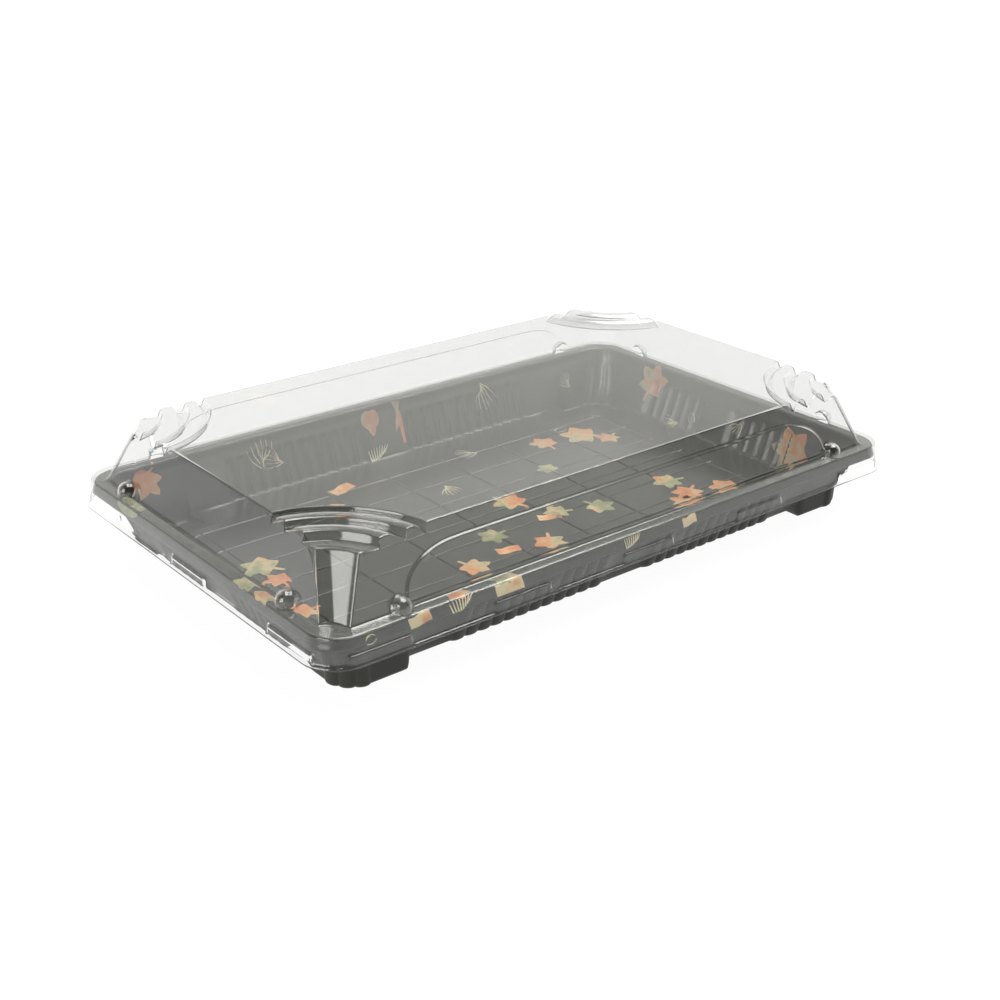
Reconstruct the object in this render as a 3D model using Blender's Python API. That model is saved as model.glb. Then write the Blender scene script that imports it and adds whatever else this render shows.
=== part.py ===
"""Takeaway sushi tray: a black formed tray with its clear press-on lid, in metres, +Z up.

Both pieces are thin sheets drawn over a mould, so each is modelled as one open surface and then
given its thickness.  X runs along the long side, Y across, and Z = 0 is what the feet stand on.
"""
import math

import bmesh
import bpy
import numpy as np
from mathutils import Vector

MM = 0.001

# ---- driving sizes, in millimetres ---------------------------------------------------------
SHEET = 0.6                # wall of both pieces
CLEARANCE = 0.3            # air between tray and lid where one rests on the other

# tray, on its printed upper face
RIM_SKIRT = (106.9, 67.1)  # half length and half width at the rim's turned-down edge
RIM_SKIRT_Z = 17.6
RIM_TOP_Z = 20.6
RIM_RADIUS = 9.2
RIM_INSET = 4.9            # from the turned-down edge to the rim's inner wall
RIM_ROUND = 0.5            # edge rounding along the rim's top
WELL_RADIUS = 8.0
FLOOR_Z = 2.9
FLUTE_TOP_Z = 16.2
FLUTE_TOP = (101.3, 61.9)
WALL_LEAN = 0.376          # outward run of the well's wall for each millimetre it rises
FLUTE_PITCH = 4.46
FLUTE_DEPTH = 0.9
FLUTE_FADE = 2.4           # height over which the flutes grow out of the plain rim wall
LONG_FLUTES = (8.5, 12)    # first flute's distance from the middle, and how many
SHORT_FLUTES = (6.5, 6)
FOOT_SIDE = (96.9, 58.4)   # inner face of the four upright corner feet
FOOT_STARTS = (76.0, 42.0)
FOOT_WIDTH = 9.0
FOOT_RAMP = 1.4

# lid, on its outer face
LID_TOP_Z = 40.0
PANEL = (97.0, 57.0)
WALL_FOOT = (102.8, 63.5)
WALL_FOOT_Z = 22.4
LEDGE = (107.0, 67.2)
LEDGE_Z = RIM_TOP_Z + CLEARANCE + SHEET
LEDGE_RADIUS = 9.3
COLUMN_TOP_Z = 37.8        # the corner between two walls is cut off by one last, tall riser
COLUMN_CUT_TOP = (7.2, 9.2)
COLUMN_CUT_FOOT = (5.4, 6.2)
COLUMN_SCOOP = 1.0
FAN_CENTRE = (104.8, 63.0)
FAN_RADII = (35.75, 29.35, 21.3)
VALLEY_Z = LID_TOP_Z - 2.6
RISER_RUN = 0.9
VALLEY_RUN = 1.6
RIDGE_WIDTH = 1.0
RIDGE_ROUND = 0.3
WALL_LEVELS = (36.2, 35.5, 29.0, 24.6, WALL_FOOT_Z)
LONG_PLAIN = (0.0, 30.0, 54.0)
SHORT_PLAIN = (0.0,)
LEDGE_RISE = 0.2           # how much the ledge climbs towards the wall
ARCH_TOP_Z = 35.5
ARCH_FOOT_Z = 23.2
ARCH_STRAIGHT = 60.0
ARCH_FOOT_X = 80.0
ARCH_DEPTH = 0.9
DOME_RADIUS = 3.6
DOME_HEIGHT = 1.8
DOME_LONG_X = 81.5
DOME_SHORT_Y = 42.7
DOMES = (((DOME_LONG_X, WALL_FOOT[1] + 0.4, WALL_FOOT_Z), (0.0, 0.75, 0.66)),
         ((WALL_FOOT[0] + 0.4, DOME_SHORT_Y, WALL_FOOT_Z), (0.75, 0.0, 0.66)))

ARC_STEPS = 5              # straight pieces in each rounded corner
FAN_STEPS = 5              # straight pieces across each fan
NEAR = 1e-6
FOLD_LIMIT = 0.15          # below this share a fold counts as one plane when the sheet is thickened
MITRE_LIMIT = 1.9          # longest corner of the far face, in sheet thicknesses


def lid_skirt_profile():
    """Outer half sizes beyond the ledge, height and corner radius, from the ledge down to the lip."""
    steps = [(0.0, 0.0), (0.85, -4.0), (1.2, -4.6), (1.6, -8.4)]
    return [((LEDGE[0] + out, LEDGE[1] + out), LEDGE_Z + down, LEDGE_RADIUS + out) for out, down in steps]


def material(name, colour, roughness, alpha=1.0):
    mat = bpy.data.materials.new(name)
    mat.use_nodes = True
    shader = mat.node_tree.nodes["Principled BSDF"]
    shader.inputs["Base Color"].default_value = (*colour, 1.0)
    shader.inputs["Roughness"].default_value = roughness
    shader.inputs["Metallic"].default_value = 0.0
    shader.inputs["Alpha"].default_value = alpha
    return mat


class Sheet:
    """An open surface that grows quad by quad and welds points that fall on the same place."""

    def __init__(self):
        self.bm = bmesh.new()
        self.known = {}

    def point(self, p):
        key = tuple(round(c, 4) for c in p)
        if key not in self.known:
            self.known[key] = self.bm.verts.new([c * MM for c in p])
        return self.known[key]

    def face(self, points):
        verts = []
        for p in points:
            v = self.point(p)
            if not verts or v is not verts[-1]:
                verts.append(v)
        if verts[0] is verts[-1]:
            verts.pop()
        if len(set(verts)) > 2 and self.bm.faces.get(verts) is None:
            self.bm.faces.new(verts)

    def strip(self, row_a, row_b, closed=False):
        count = len(row_a)
        for i in range(count if closed else count - 1):
            j = (i + 1) % count
            self.face([row_a[i], row_a[j], row_b[j], row_b[i]])

    def fan(self, run, first, last):
        """Fills between a straight run of points and the two points across from its ends."""
        middle = len(run) // 2
        for k in range(len(run) - 1):
            self.face([run[k], run[k + 1], first if k < middle else last])
        self.face([run[middle], last, first])

    def zip_loops(self, coarse, fine):
        """Joins two closed loops with different counts, stepping along whichever lags behind."""
        a, b = bearings(coarse), bearings(fine)
        i = j = 0
        while i < len(coarse) or j < len(fine):
            p, q = coarse[i % len(coarse)], fine[j % len(fine)]
            if j >= len(fine) or (i < len(coarse) and a[i + 1] <= b[j + 1]):
                self.face([p, coarse[(i + 1) % len(coarse)], q])
                i += 1
            else:
                self.face([p, fine[(j + 1) % len(fine)], q])
                j += 1

    def back_of(self, vert):
        """Where the sheet's far face lies behind a vertex: SHEET behind every face that meets there."""
        normals = np.unique([[round(c, 1) for c in f.normal] for f in vert.link_faces], axis=0)
        normals /= np.linalg.norm(normals, axis=1)[:, None]
        step = np.linalg.lstsq(normals, np.full(len(normals), -SHEET * MM), rcond=FOLD_LIMIT)[0]
        length = np.linalg.norm(step)
        if length > MITRE_LIMIT * SHEET * MM:
            step *= MITRE_LIMIT * SHEET * MM / length
        place = Vector(step) + vert.co
        place.z = max(place.z, 0.0)
        return place

    def finish(self, name, mat):
        """Gives the surface, seen from above, its thickness below, and makes it an object."""
        bm = self.bm
        bmesh.ops.triangulate(bm, faces=[f for f in bm.faces if len(f.verts) > 4])
        bmesh.ops.recalc_face_normals(bm, faces=bm.faces)
        if max(bm.faces, key=lambda f: f.calc_area()).normal.z < 0:
            bmesh.ops.reverse_faces(bm, faces=bm.faces)
        bm.normal_update()
        front = list(bm.faces)
        rim = [e for e in bm.edges if e.is_boundary]
        back = {}
        for vert, place in [(v, self.back_of(v)) for v in bm.verts]:
            back[vert] = place
        for vert in list(back):
            back[vert] = bm.verts.new(back[vert])
        for f in front:
            bm.faces.new([back[v] for v in reversed(f.verts)])
        for e in rim:
            loop = e.link_loops[0]
            a, b = loop.vert, loop.link_loop_next.vert
            bm.faces.new([b, a, back[a], back[b]])
        mesh = bpy.data.meshes.new(name)
        bm.to_mesh(mesh)
        bm.free()
        mesh.materials.append(mat)
        obj = bpy.data.objects.new(name, mesh)
        bpy.context.collection.objects.link(obj)
        mesh.shade_smooth()
        mesh.set_sharp_from_angle(angle=math.radians(30))
        return obj


def bearings(loop):
    """The bearing of each point of a closed loop seen from the middle, growing all the way round."""
    wide = max(p[0] for p in loop)
    deep = max(p[1] for p in loop)
    out = [math.atan2(loop[0][1] / deep, loop[0][0] / wide)]
    for p in loop[1:] + loop[:1]:
        turn = math.atan2(p[1] / deep, p[0] / wide) - out[-1]
        out.append(out[-1] + turn % (2 * math.pi))
    return out


# ---- tray ------------------------------------------------------------------------------------
def flute_stations(first, count):
    """Distances from the middle where the flutes' hollows and crests lie."""
    half = FLUTE_PITCH / 2
    return [(first + k * half, k % 2) for k in range(2 * count + 1)]


def side_stations(flutes, foot):
    """One half of a side: (distance from the middle, on a crest, share of the foot)."""
    out = [(d, crest, 0.0) for d, crest in flute_stations(*flutes)]
    out += [(foot, 0, 0.0), (foot + FOOT_RAMP, 0, 1.0)]
    return out


def tray_columns():
    """Every column round the tray, as (side, distance or bearing, crest, foot share)."""
    columns = []
    sides = (("front", LONG_FLUTES, FOOT_STARTS[0]), ("right", SHORT_FLUTES, FOOT_STARTS[1]),
             ("back", LONG_FLUTES, FOOT_STARTS[0]), ("left", SHORT_FLUTES, FOOT_STARTS[1]))
    for side, flutes, foot in sides:
        half = side_stations(flutes, foot)
        columns += [(side, -d, c, f) for d, c, f in reversed(half)]
        columns += [(side, d, c, f) for d, c, f in half]
        columns += [(side + " corner", k / ARC_STEPS, 0, 1.0) for k in range(ARC_STEPS + 1)]
    return columns


QUARTER = {"front": 0, "right": 1, "back": 2, "left": 3}


def ring_point(column, half, radius, z, out=0.0):
    """A column's place on the rounded rectangle of these half sizes, pushed out by `out`."""
    side, place = column[0], column[1]
    turn = QUARTER[side.split()[0]]
    a, b = half if turn % 2 == 0 else (half[1], half[0])
    if side.endswith("corner"):
        t = place * math.pi / 2
        x = a - radius + (radius + out) * math.sin(t)
        y = -(b - radius) - (radius + out) * math.cos(t)
    else:
        x, y = place, -(b + out)
    for _ in range(turn):
        x, y = -y, x
    return (x, y, z)


def coarse_columns(stations):
    """Columns for the plain bands: a few along each side, and the rounded corners."""
    columns = []
    for side, count in (("front", 0), ("right", 1), ("back", 0), ("left", 1)):
        reach = stations[count]
        columns += [(side, d) for d in reach]
        columns += [(side + " corner", k / ARC_STEPS) for k in range(ARC_STEPS + 1)]
    return columns


def build_tray():
    sheet = Sheet()
    plain = coarse_columns(((-70, 0, 70), (-25, 25)))
    lean = 0.6
    rim = [(0.0, RIM_SKIRT_Z), (-lean, RIM_TOP_Z - RIM_ROUND), (-lean - RIM_ROUND, RIM_TOP_Z),
           (-RIM_INSET + 2 * RIM_ROUND, RIM_TOP_Z), (-RIM_INSET + 0.3, RIM_TOP_Z - RIM_ROUND),
           (-RIM_INSET, FLUTE_TOP_Z + 0.9)]
    loops = []
    for out, z in rim:
        half = (RIM_SKIRT[0] + out, RIM_SKIRT[1] + out)
        loops.append([ring_point(c, half, RIM_RADIUS + 0.25 * out, z) for c in plain])
    for a, b in zip(loops, loops[1:]):
        sheet.strip(a, b, closed=True)

    columns = tray_columns()

    def wall(z, crest_depth):
        ring = []
        for c in columns:
            drop = FLUTE_TOP_Z - z
            half = [FLUTE_TOP[0] - WALL_LEAN * drop, FLUTE_TOP[1] - WALL_LEAN * drop]
            if c[3] > 0.5:
                half = [max(half[0], FOOT_SIDE[0]), max(half[1], FOOT_SIDE[1])]
            ring.append(ring_point(c, half, WELL_RADIUS, z, crest_depth * c[2]))
        return ring

    foot_top = FLUTE_TOP_Z - (FLUTE_TOP[0] - FOOT_SIDE[0]) / WALL_LEAN
    top = wall(FLUTE_TOP_Z, 0.0)
    sheet.zip_loops(loops[-1], top)
    crest = wall(FLUTE_TOP_Z - FLUTE_FADE, FLUTE_DEPTH)
    waist = wall(foot_top, FLUTE_DEPTH)
    bottom = [(x, y, SHEET if c[3] > 0.5 else FLOOR_Z)
              for (x, y, z), c in zip(wall(FLOOR_Z, FLUTE_DEPTH), columns)]
    for a, b in ((top, crest), (crest, waist), (waist, bottom)):
        sheet.strip(a, b, closed=True)

    foot_half = [half - FOOT_WIDTH for half in FOOT_SIDE]
    inner = [ring_point(c, foot_half, WELL_RADIUS / 2, SHEET if c[3] > 0.5 else FLOOR_Z) for c in columns]
    sheet.strip(bottom, inner, closed=True)

    floor_half = [half - FOOT_RAMP for half in foot_half]
    kept = [k for k, c in enumerate(columns) if c[3] > 0.5 or abs(c[1]) in FOOT_STARTS]
    floor = [ring_point(columns[k], floor_half, WELL_RADIUS / 2, FLOOR_Z) for k in kept]
    for m, k in enumerate(kept):
        n = (m + 1) % len(kept)
        run = inner[k:kept[n] + 1] if n else inner[k:] + inner[:1]
        sheet.fan(run, floor[m], floor[n])
    sheet.face(floor)
    return sheet.finish("tray", material("black polystyrene", (0.012, 0.013, 0.012), 0.15))


# ---- lid -------------------------------------------------------------------------------------
def lid_wall(z):
    """Half length and half width of the lid's leaning walls at a height."""
    share = (LID_TOP_Z - z) / (LID_TOP_Z - WALL_FOOT_Z)
    return tuple(p + (f - p) * share for p, f in zip(PANEL, WALL_FOOT))


def fan_profile():
    """Radius and height of every ridge and valley of a corner fan, from the panel inwards."""
    rows = []
    for radius in FAN_RADII:
        if rows:
            rows.append((radius + RIDGE_WIDTH, LID_TOP_Z - RIDGE_ROUND))
        rows.append((radius, LID_TOP_Z))
        rows.append((radius - RISER_RUN, VALLEY_Z))
        rows.append((radius - RISER_RUN - VALLEY_RUN, VALLEY_Z))
    return rows


def fan_arc(radius, z):
    """One arc of the fan in the +X +Y corner, from the long wall's top to the short wall's."""
    x_wall, y_wall = lid_wall(z)
    cx, cy = FAN_CENTRE
    first = math.atan2(cy - y_wall, math.sqrt(radius ** 2 - (cy - y_wall) ** 2))
    last = math.atan2(math.sqrt(radius ** 2 - (cx - x_wall) ** 2), cx - x_wall)
    arc = []
    for k in range(FAN_STEPS + 1):
        t = first + (last - first) * k / FAN_STEPS
        arc.append((cx - radius * math.cos(t), cy - radius * math.sin(t), z))
    return arc


def column_arc(z):
    """The scooped-out corner between two walls at a height, from the long wall to the short one."""
    x_wall, y_wall = lid_wall(z)
    share = (COLUMN_TOP_Z - z) / (COLUMN_TOP_Z - WALL_FOOT_Z)
    cut_x, cut_y = (top + (foot - top) * share for top, foot in zip(COLUMN_CUT_TOP, COLUMN_CUT_FOOT))
    chord = math.hypot(cut_x, cut_y)
    arc = []
    for k in range(FAN_STEPS + 1):
        t = k / FAN_STEPS
        dip = COLUMN_SCOOP * 4 * t * (1 - t) / chord
        arc.append((x_wall - cut_x * (1 - t) - cut_y * dip, y_wall - cut_y * t - cut_x * dip, z))
    return arc


def arch_depth(x, z):
    """How far the arched field on each long wall stands out."""
    if z > ARCH_TOP_Z:
        return 0.0
    rise = max(0.0, z - ARCH_FOOT_Z) / (ARCH_TOP_Z - ARCH_FOOT_Z)
    reach = ARCH_STRAIGHT + (ARCH_FOOT_X - ARCH_STRAIGHT) * math.sqrt(1 - rise ** 2)
    return ARCH_DEPTH if abs(x) <= reach else 0.0


def push_domes(p):
    """Swells a point of the +X +Y quarter outwards and upwards where a dome button stands."""
    for centre, out in DOMES:
        away = math.dist(p, centre)
        if away < DOME_RADIUS:
            swell = DOME_HEIGHT * (1 - (away / DOME_RADIUS) ** 2)
            return tuple(p[i] + out[i] * swell for i in range(3))
    return p


def wall_columns(top_edge, plain, foot_end, dome):
    """(place at the top, place at the foot, height of the top) of each column of half a wall."""
    last = len(top_edge) - 1
    knots = (0, 3, 7, last)
    feet = (top_edge[0][0], dome - DOME_RADIUS, dome + DOME_RADIUS, foot_end)
    columns = [(d, d, LID_TOP_Z) for d in plain]
    for k, (d, z) in enumerate(top_edge):
        columns.append((d, float(np.interp(k, knots, feet)), z))
    return columns


def wall_rows(columns, is_long, column_rows):
    """Rows of points from the top of half a wall to its foot, ending at the corner column."""
    rows = []
    for z in (None,) + WALL_LEVELS:
        row = []
        for top, foot, top_z in columns:
            level = top_z if z is None else z
            share = max(0.0, VALLEY_Z - level) / (VALLEY_Z - WALL_FOOT_Z)
            along = top + (foot - top) * share
            x_wall, y_wall = lid_wall(level)
            if is_long:
                row.append((along, y_wall + arch_depth(along, level), level))
            else:
                row.append((x_wall, along, level))
        corner = column_rows[len(rows)]
        row[-1] = corner[0] if is_long else corner[-1]
        rows.append(row)
    return rows


def skirt_place(p, half, radius, z):
    """The point of a rounded rectangle that lies straight out from p, in the +X +Y quarter."""
    corner = (half[0] - radius, half[1] - radius)
    foot = [half - cut for half, cut in zip(WALL_FOOT, COLUMN_CUT_FOOT)]
    if p[0] > foot[0] - NEAR and p[1] > foot[1] - NEAR:
        t = math.atan2(p[0] - foot[0], p[1] - foot[1])
        return (corner[0] + radius * math.sin(t), corner[1] + radius * math.cos(t), z)
    side = 0 if p[1] > foot[1] else 1
    along = p[side]
    if along > corner[side] * 0.8:
        along = min(along, foot[side]) * corner[side] / foot[side]
    return (along, half[1], z) if side == 0 else (half[0], along, z)


def full_loop(quarter):
    """Mirrors one quarter, which runs from the long side's middle to the short side's."""
    half = quarter + [(x, -y, z) for x, y, z in reversed(quarter)][1:]
    return half + [(-x, y, z) for x, y, z in reversed(half)][1:-1]


def build_lid():
    sheet = Sheet()
    arcs = [fan_arc(r, z) for r, z in fan_profile()] + [column_arc(COLUMN_TOP_Z)]
    column_rows = [column_arc(z) for z in (COLUMN_TOP_Z,) + WALL_LEVELS]
    foot_end = [half - cut for half, cut in zip(WALL_FOOT, COLUMN_CUT_FOOT)]
    long_top = [(arc[0][0], arc[0][2]) for arc in arcs]
    short_top = [(arc[-1][1], arc[-1][2]) for arc in arcs]
    long_rows = wall_rows(wall_columns(long_top, LONG_PLAIN, foot_end[0], DOME_LONG_X), True, column_rows)
    short_rows = wall_rows(wall_columns(short_top, SHORT_PLAIN, foot_end[1], DOME_SHORT_Y), False,
                           column_rows)

    for mirror_x in (1, -1):
        for mirror_y in (1, -1):
            def place(row):
                return [(x * mirror_x, y * mirror_y, z) for x, y, z in map(push_domes, row)]
            for rows in (arcs, long_rows, short_rows, column_rows):
                for a, b in zip(rows, rows[1:]):
                    sheet.strip(place(a), place(b))

    foot = long_rows[-1] + column_rows[-1][1:-1] + short_rows[-1][::-1]
    ledge = [skirt_place(p, LEDGE, LEDGE_RADIUS, LEDGE_Z) for p in foot]
    middle = [((a[0] + b[0]) / 2, (a[1] + b[1]) / 2, LEDGE_Z + LEDGE_RISE) for a, b in zip(foot, ledge)]
    loops = [[push_domes(p) for p in foot], [push_domes(p) for p in middle]]
    loops += [[skirt_place(p, half, radius, z) for p in foot] for half, z, radius in lid_skirt_profile()]
    for a, b in zip(loops, loops[1:]):
        sheet.strip(full_loop(a), full_loop(b), closed=True)

    along_x = [p for p in long_rows[0] if p[0] < arcs[0][0][0] + NEAR]
    along_y = [p for p in short_rows[0] if p[1] < arcs[0][-1][1] + NEAR]
    sheet.face(full_loop(along_x + arcs[0][1:-1] + along_y[::-1]))
    return sheet.finish("lid", material("clear PET", (0.93, 0.95, 0.94), 0.06, 0.25))


for old in list(bpy.data.objects):
    bpy.data.objects.remove(old, do_unlink=True)
build_tray()
build_lid()
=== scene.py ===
# %% [markdown]
# # A takeaway sushi tray with its clear lid
#
# The real object is two thin plastic sheets.  One is black, printed on its upper face and drawn
# over a mould into a shallow tray.  The other is clear and drawn into a lid that presses over the
# tray's rim.  Everything here follows from that: each piece starts as one open surface, gets its
# small pressed forms, and only then gets its thickness.

import math

import bmesh
import bpy
import numpy as np
from mathutils import Matrix, Vector
from mathutils.geometry import delaunay_2d_cdt


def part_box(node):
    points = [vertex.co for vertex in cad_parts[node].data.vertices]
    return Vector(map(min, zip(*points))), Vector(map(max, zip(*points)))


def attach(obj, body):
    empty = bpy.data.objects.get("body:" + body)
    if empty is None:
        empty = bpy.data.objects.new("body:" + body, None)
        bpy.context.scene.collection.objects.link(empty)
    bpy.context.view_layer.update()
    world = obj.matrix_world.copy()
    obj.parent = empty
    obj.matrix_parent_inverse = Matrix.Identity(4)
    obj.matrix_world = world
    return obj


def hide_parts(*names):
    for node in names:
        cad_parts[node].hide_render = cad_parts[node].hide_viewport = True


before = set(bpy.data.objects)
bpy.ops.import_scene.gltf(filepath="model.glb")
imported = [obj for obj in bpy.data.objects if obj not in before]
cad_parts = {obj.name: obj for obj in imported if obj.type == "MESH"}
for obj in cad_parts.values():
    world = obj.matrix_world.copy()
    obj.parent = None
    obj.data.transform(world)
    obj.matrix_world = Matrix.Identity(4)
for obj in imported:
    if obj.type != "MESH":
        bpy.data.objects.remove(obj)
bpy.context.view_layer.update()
MM = 0.001
tray_low, tray_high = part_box("tray")
lid_low, lid_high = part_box("lid")
print("tray", [round(v / MM, 1) for v in (*tray_low, *tray_high)])
print("lid", [round(v / MM, 1) for v in (*lid_low, *lid_high)])

# %% [markdown]
# ## A few small helpers
#
# Node trees are long to write out, so one function adds a node, sets it and links it.  Colours are
# given as the hex values a printer would use and turned to linear light once.  Geometry Nodes trees
# are started, ended and baked by three more functions, which leave a plain mesh and no modifier.

# %% Helpers for nodes and colours
def add(tree, kind, sockets=(), **settings):
    """Adds one node.  Settings are its properties.  Sockets are its inputs, by name or in order: a
    value, a socket to link from, or a node whose first output is meant."""
    made = tree.nodes.new(kind)
    for name, value in settings.items():
        setattr(made, name, value)
    for name, value in sockets.items() if isinstance(sockets, dict) else enumerate(sockets):
        if isinstance(value, bpy.types.Node):
            value = value.outputs[0]
        if isinstance(value, bpy.types.NodeSocket):
            tree.links.new(value, made.inputs[name])
        else:
            made.inputs[name].default_value = value
    return made


def linear(code):
    """An sRGB hex colour as linear red, green, blue and alpha."""
    parts = [int(code[k:k + 2], 16) / 255 for k in (1, 3, 5)]
    return tuple(c / 12.92 if c <= 0.04045 else ((c + 0.055) / 1.055) ** 2.4 for c in parts) + (1.0,)


# %% Helpers for Geometry Nodes
def new_tree(name, pieces=(), **sizes):
    """An empty Geometry Nodes tree with a named input for each size and each piece it looks at."""
    tree = bpy.data.node_groups.new(name, "GeometryNodeTree")
    for way in ("INPUT", "OUTPUT"):
        tree.interface.new_socket("Geometry", in_out=way, socket_type="NodeSocketGeometry")
    kinds = [(label.replace("_", " "), "NodeSocketFloat") for label in sizes]
    kinds += [(label, "NodeSocketObject") for label in pieces] + [("Material", "NodeSocketMaterial")]
    sockets = [tree.interface.new_socket(label, in_out="INPUT", socket_type=kind)
               for label, kind in kinds]
    for socket, value in zip(sockets, sizes.values()):
        socket.default_value = value
    return tree, add(tree, "NodeGroupInput")


def end_tree(tree, geometry, given):
    """Every tree ends the same way: real geometry, one material."""
    real = add(tree, "GeometryNodeRealizeInstances", [geometry])
    coat = add(tree, "GeometryNodeSetMaterial", {
        "Geometry": real, "Material": given.outputs["Material"]})
    add(tree, "NodeGroupOutput", [coat])
    print("nodes in the tree:", len(tree.nodes))


def bake(piece, tree, **inputs):
    """Runs the tree on a piece and keeps the result as a plain mesh."""
    step = piece.modifiers.new(tree.name, "NODES")
    step.node_group = tree
    sockets = {s.name: s.identifier for s in tree.interface.items_tree if s.in_out == "INPUT"}
    for label, value in inputs.items():
        step[sockets[label]] = value
    graph = bpy.context.evaluated_depsgraph_get()
    mesh = bpy.data.meshes.new_from_object(piece.evaluated_get(graph), depsgraph=graph)
    piece.modifiers.clear()
    old, piece.data = piece.data, mesh
    bpy.data.meshes.remove(old)
    mesh.name = piece.name


def piece_from(name, points, faces, edges=()):
    """An object whose mesh has these points, in millimetres."""
    mesh = bpy.data.meshes.new(name)
    mesh.from_pydata([tuple(c * MM for c in p) for p in points], list(edges), faces)
    piece = bpy.data.objects.new(name, mesh)
    bpy.context.collection.objects.link(piece)
    return piece


def mark(piece, name, values):
    """Stores one number or one arrow for each point of a piece, for the node trees to read."""
    values = np.asarray(values, dtype=np.float32)
    kind = "FLOAT" if values.ndim == 1 else "FLOAT_VECTOR"
    layer = piece.data.attributes.new(name, kind, "POINT")
    layer.data.foreach_set("value" if values.ndim == 1 else "vector", values.ravel())


# %% [markdown]
# ## A sheet that grows ring by ring
#
# A drawn tray is a stack of closed rings: rim, wall, floor.  Each ring has the same number of
# points, so two neighbours join with plain quads.  The rings are rounded rectangles, and each point
# knows which way is straight out from its ring, which is all that flutes and lugs need.

# %% Rings
def stations(long_side, short_side, corner_steps):
    """Places round a rounded rectangle: (which quarter turn, is it a corner, place)."""
    out = []
    for turn in range(4):
        side = long_side if turn % 2 == 0 else short_side
        out += [(turn, False, d) for d in side]
        out += [(turn, True, k / corner_steps) for k in range(corner_steps + 1)]
    return out


def ring(places, half, radius):
    """Plan positions of the stations on a rounded rectangle with these half sizes."""
    points = np.zeros((len(places), 2))
    out = np.zeros((len(places), 2))
    reach = [max(d for turn, corner, d in places if not corner and turn % 2 == side) for side in (0, 1)]
    for k, (turn, corner, place) in enumerate(places):
        a, b = half if turn % 2 == 0 else half[::-1]
        end, hold = reach[turn % 2], 0.9 * reach[turn % 2]
        if not corner and abs(place) > hold and a - radius < end:      # a small ring: close up its ends
            closed_up = hold + (abs(place) - hold) * (a - radius - hold) / (end - hold)
            place = math.copysign(closed_up, place)
        t = place * math.pi / 2 if corner else 0.0
        x = a - radius + radius * math.sin(t) if corner else place
        y = -(b - radius) - radius * math.cos(t) if corner else -b
        way = (math.sin(t), -math.cos(t))
        for _ in range(turn):
            x, y = -y, x
            way = (-way[1], way[0])
        points[k] = (x, y)
        out[k] = way
    return points, out


def mirrored(values):
    """A half side's places made into the whole side's, from left to right."""
    half = sorted(set(round(v, 3) for v in values))
    return [-v for v in reversed(half) if v > 0] + half


# %% [markdown]
# ## The tray's surface
#
# The tray is drawn from printed polystyrene sheet.  From outside in it has a turned-down rim, a
# leaning wall and a flat floor; at each corner the wall runs on down into a foot.  The rings
# are closer together where the sheet bends, because a glossy surface shows every flat facet.

# %% Tray sizes
SHEET_TRAY = 0.4
RIM = (tray_high.x / MM, tray_high.y / MM)
RIM_TOP = tray_high.z / MM
FLOOR = 2.9
FLUTE_TOP = 16.2
WALL_TOP = (101.3, 61.9)
LEAN = 0.376
FOOT = (96.9, 58.4)
FOOT_FROM = (76.0, 42.0)
FOOT_RAMP = 1.4
WALL_RADIUS = 8.0               # of the walls' corners; smaller further down
FILLET = 1.1                    # between wall and floor
FLUTE_PITCH = 4.46
FLUTE_FROM = (8.5, 6.5)
FLUTE_FADE = 2.4                # height in which the flutes come up to their full depth
FLUTES = (12, 6)                # on half a long side and on half a short one
CORNER_FLUTES = 3               # round each corner, and shallower
CORNER_FLUTE_SHARE = 0.75
COLUMNS_PER_FLUTE = 7
SIDE_REACH = (88.0, 49.5)       # how far a side's columns go before the corner's start
CORNER_STEPS = 24


def side_places(first, count, foot, reach):
    """Half a side's columns: the flutes, then the foot and the plain ends."""
    places = [0.0, first / 2]
    places += [first + FLUTE_PITCH * k / COLUMNS_PER_FLUTE
               for k in range(count * COLUMNS_PER_FLUTE + 1)]
    places += [foot, foot + FOOT_RAMP / 3, foot + 2 * FOOT_RAMP / 3, foot + FOOT_RAMP]
    places += list(np.linspace(foot + 3, reach, 4))
    return mirrored(places)


tray_places = stations(*(side_places(FLUTE_FROM[k], FLUTES[k], FOOT_FROM[k], SIDE_REACH[k])
                         for k in (0, 1)), CORNER_STEPS)
print("columns round the tray:", len(tray_places))


# %% What each column belongs to
def ease(t):
    """A soft step from 0 to 1."""
    t = min(1.0, max(0.0, t))
    return t * t * (3 - 2 * t)


def foot_share(place):
    """How much a column belongs to a foot: 0 for the plain wall, 1 for the foot."""
    turn, corner, d = place
    return 1.0 if corner else ease((abs(d) - FOOT_FROM[turn % 2]) / FOOT_RAMP)


def flute_run(place):
    """Millimetres along the run of flutes this column is in, or -1 where the wall is plain."""
    turn, corner, d = place
    if corner:
        return d * CORNER_FLUTES * FLUTE_PITCH
    run = abs(d) - FLUTE_FROM[turn % 2]
    return run if 0 <= run <= FLUTES[turn % 2] * FLUTE_PITCH + 0.01 else -1.0


feet = np.array([foot_share(p) for p in tray_places])
runs = np.array([flute_run(p) for p in tray_places])
is_corner = np.array([p[1] for p in tray_places])
print("columns in flutes:", int((runs >= 0).sum()), "in feet:", int((feet > 0.5).sum()))

# %% The tray's rings
rows = []            # each row: plan points, heights, how much flute it carries


def arc(count):
    """A quarter turn in even steps, in radians."""
    return [math.radians(90 * k / count) for k in range(count + 1)]


def rim_row(inset, radius, z):
    """One ring of the rim, this far in from its edge."""
    plan, out = ring(tray_places, (RIM[0] - inset, RIM[1] - inset), radius)
    rows.append((plan, np.full(len(plan), z), np.zeros(len(plan)), out))


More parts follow.
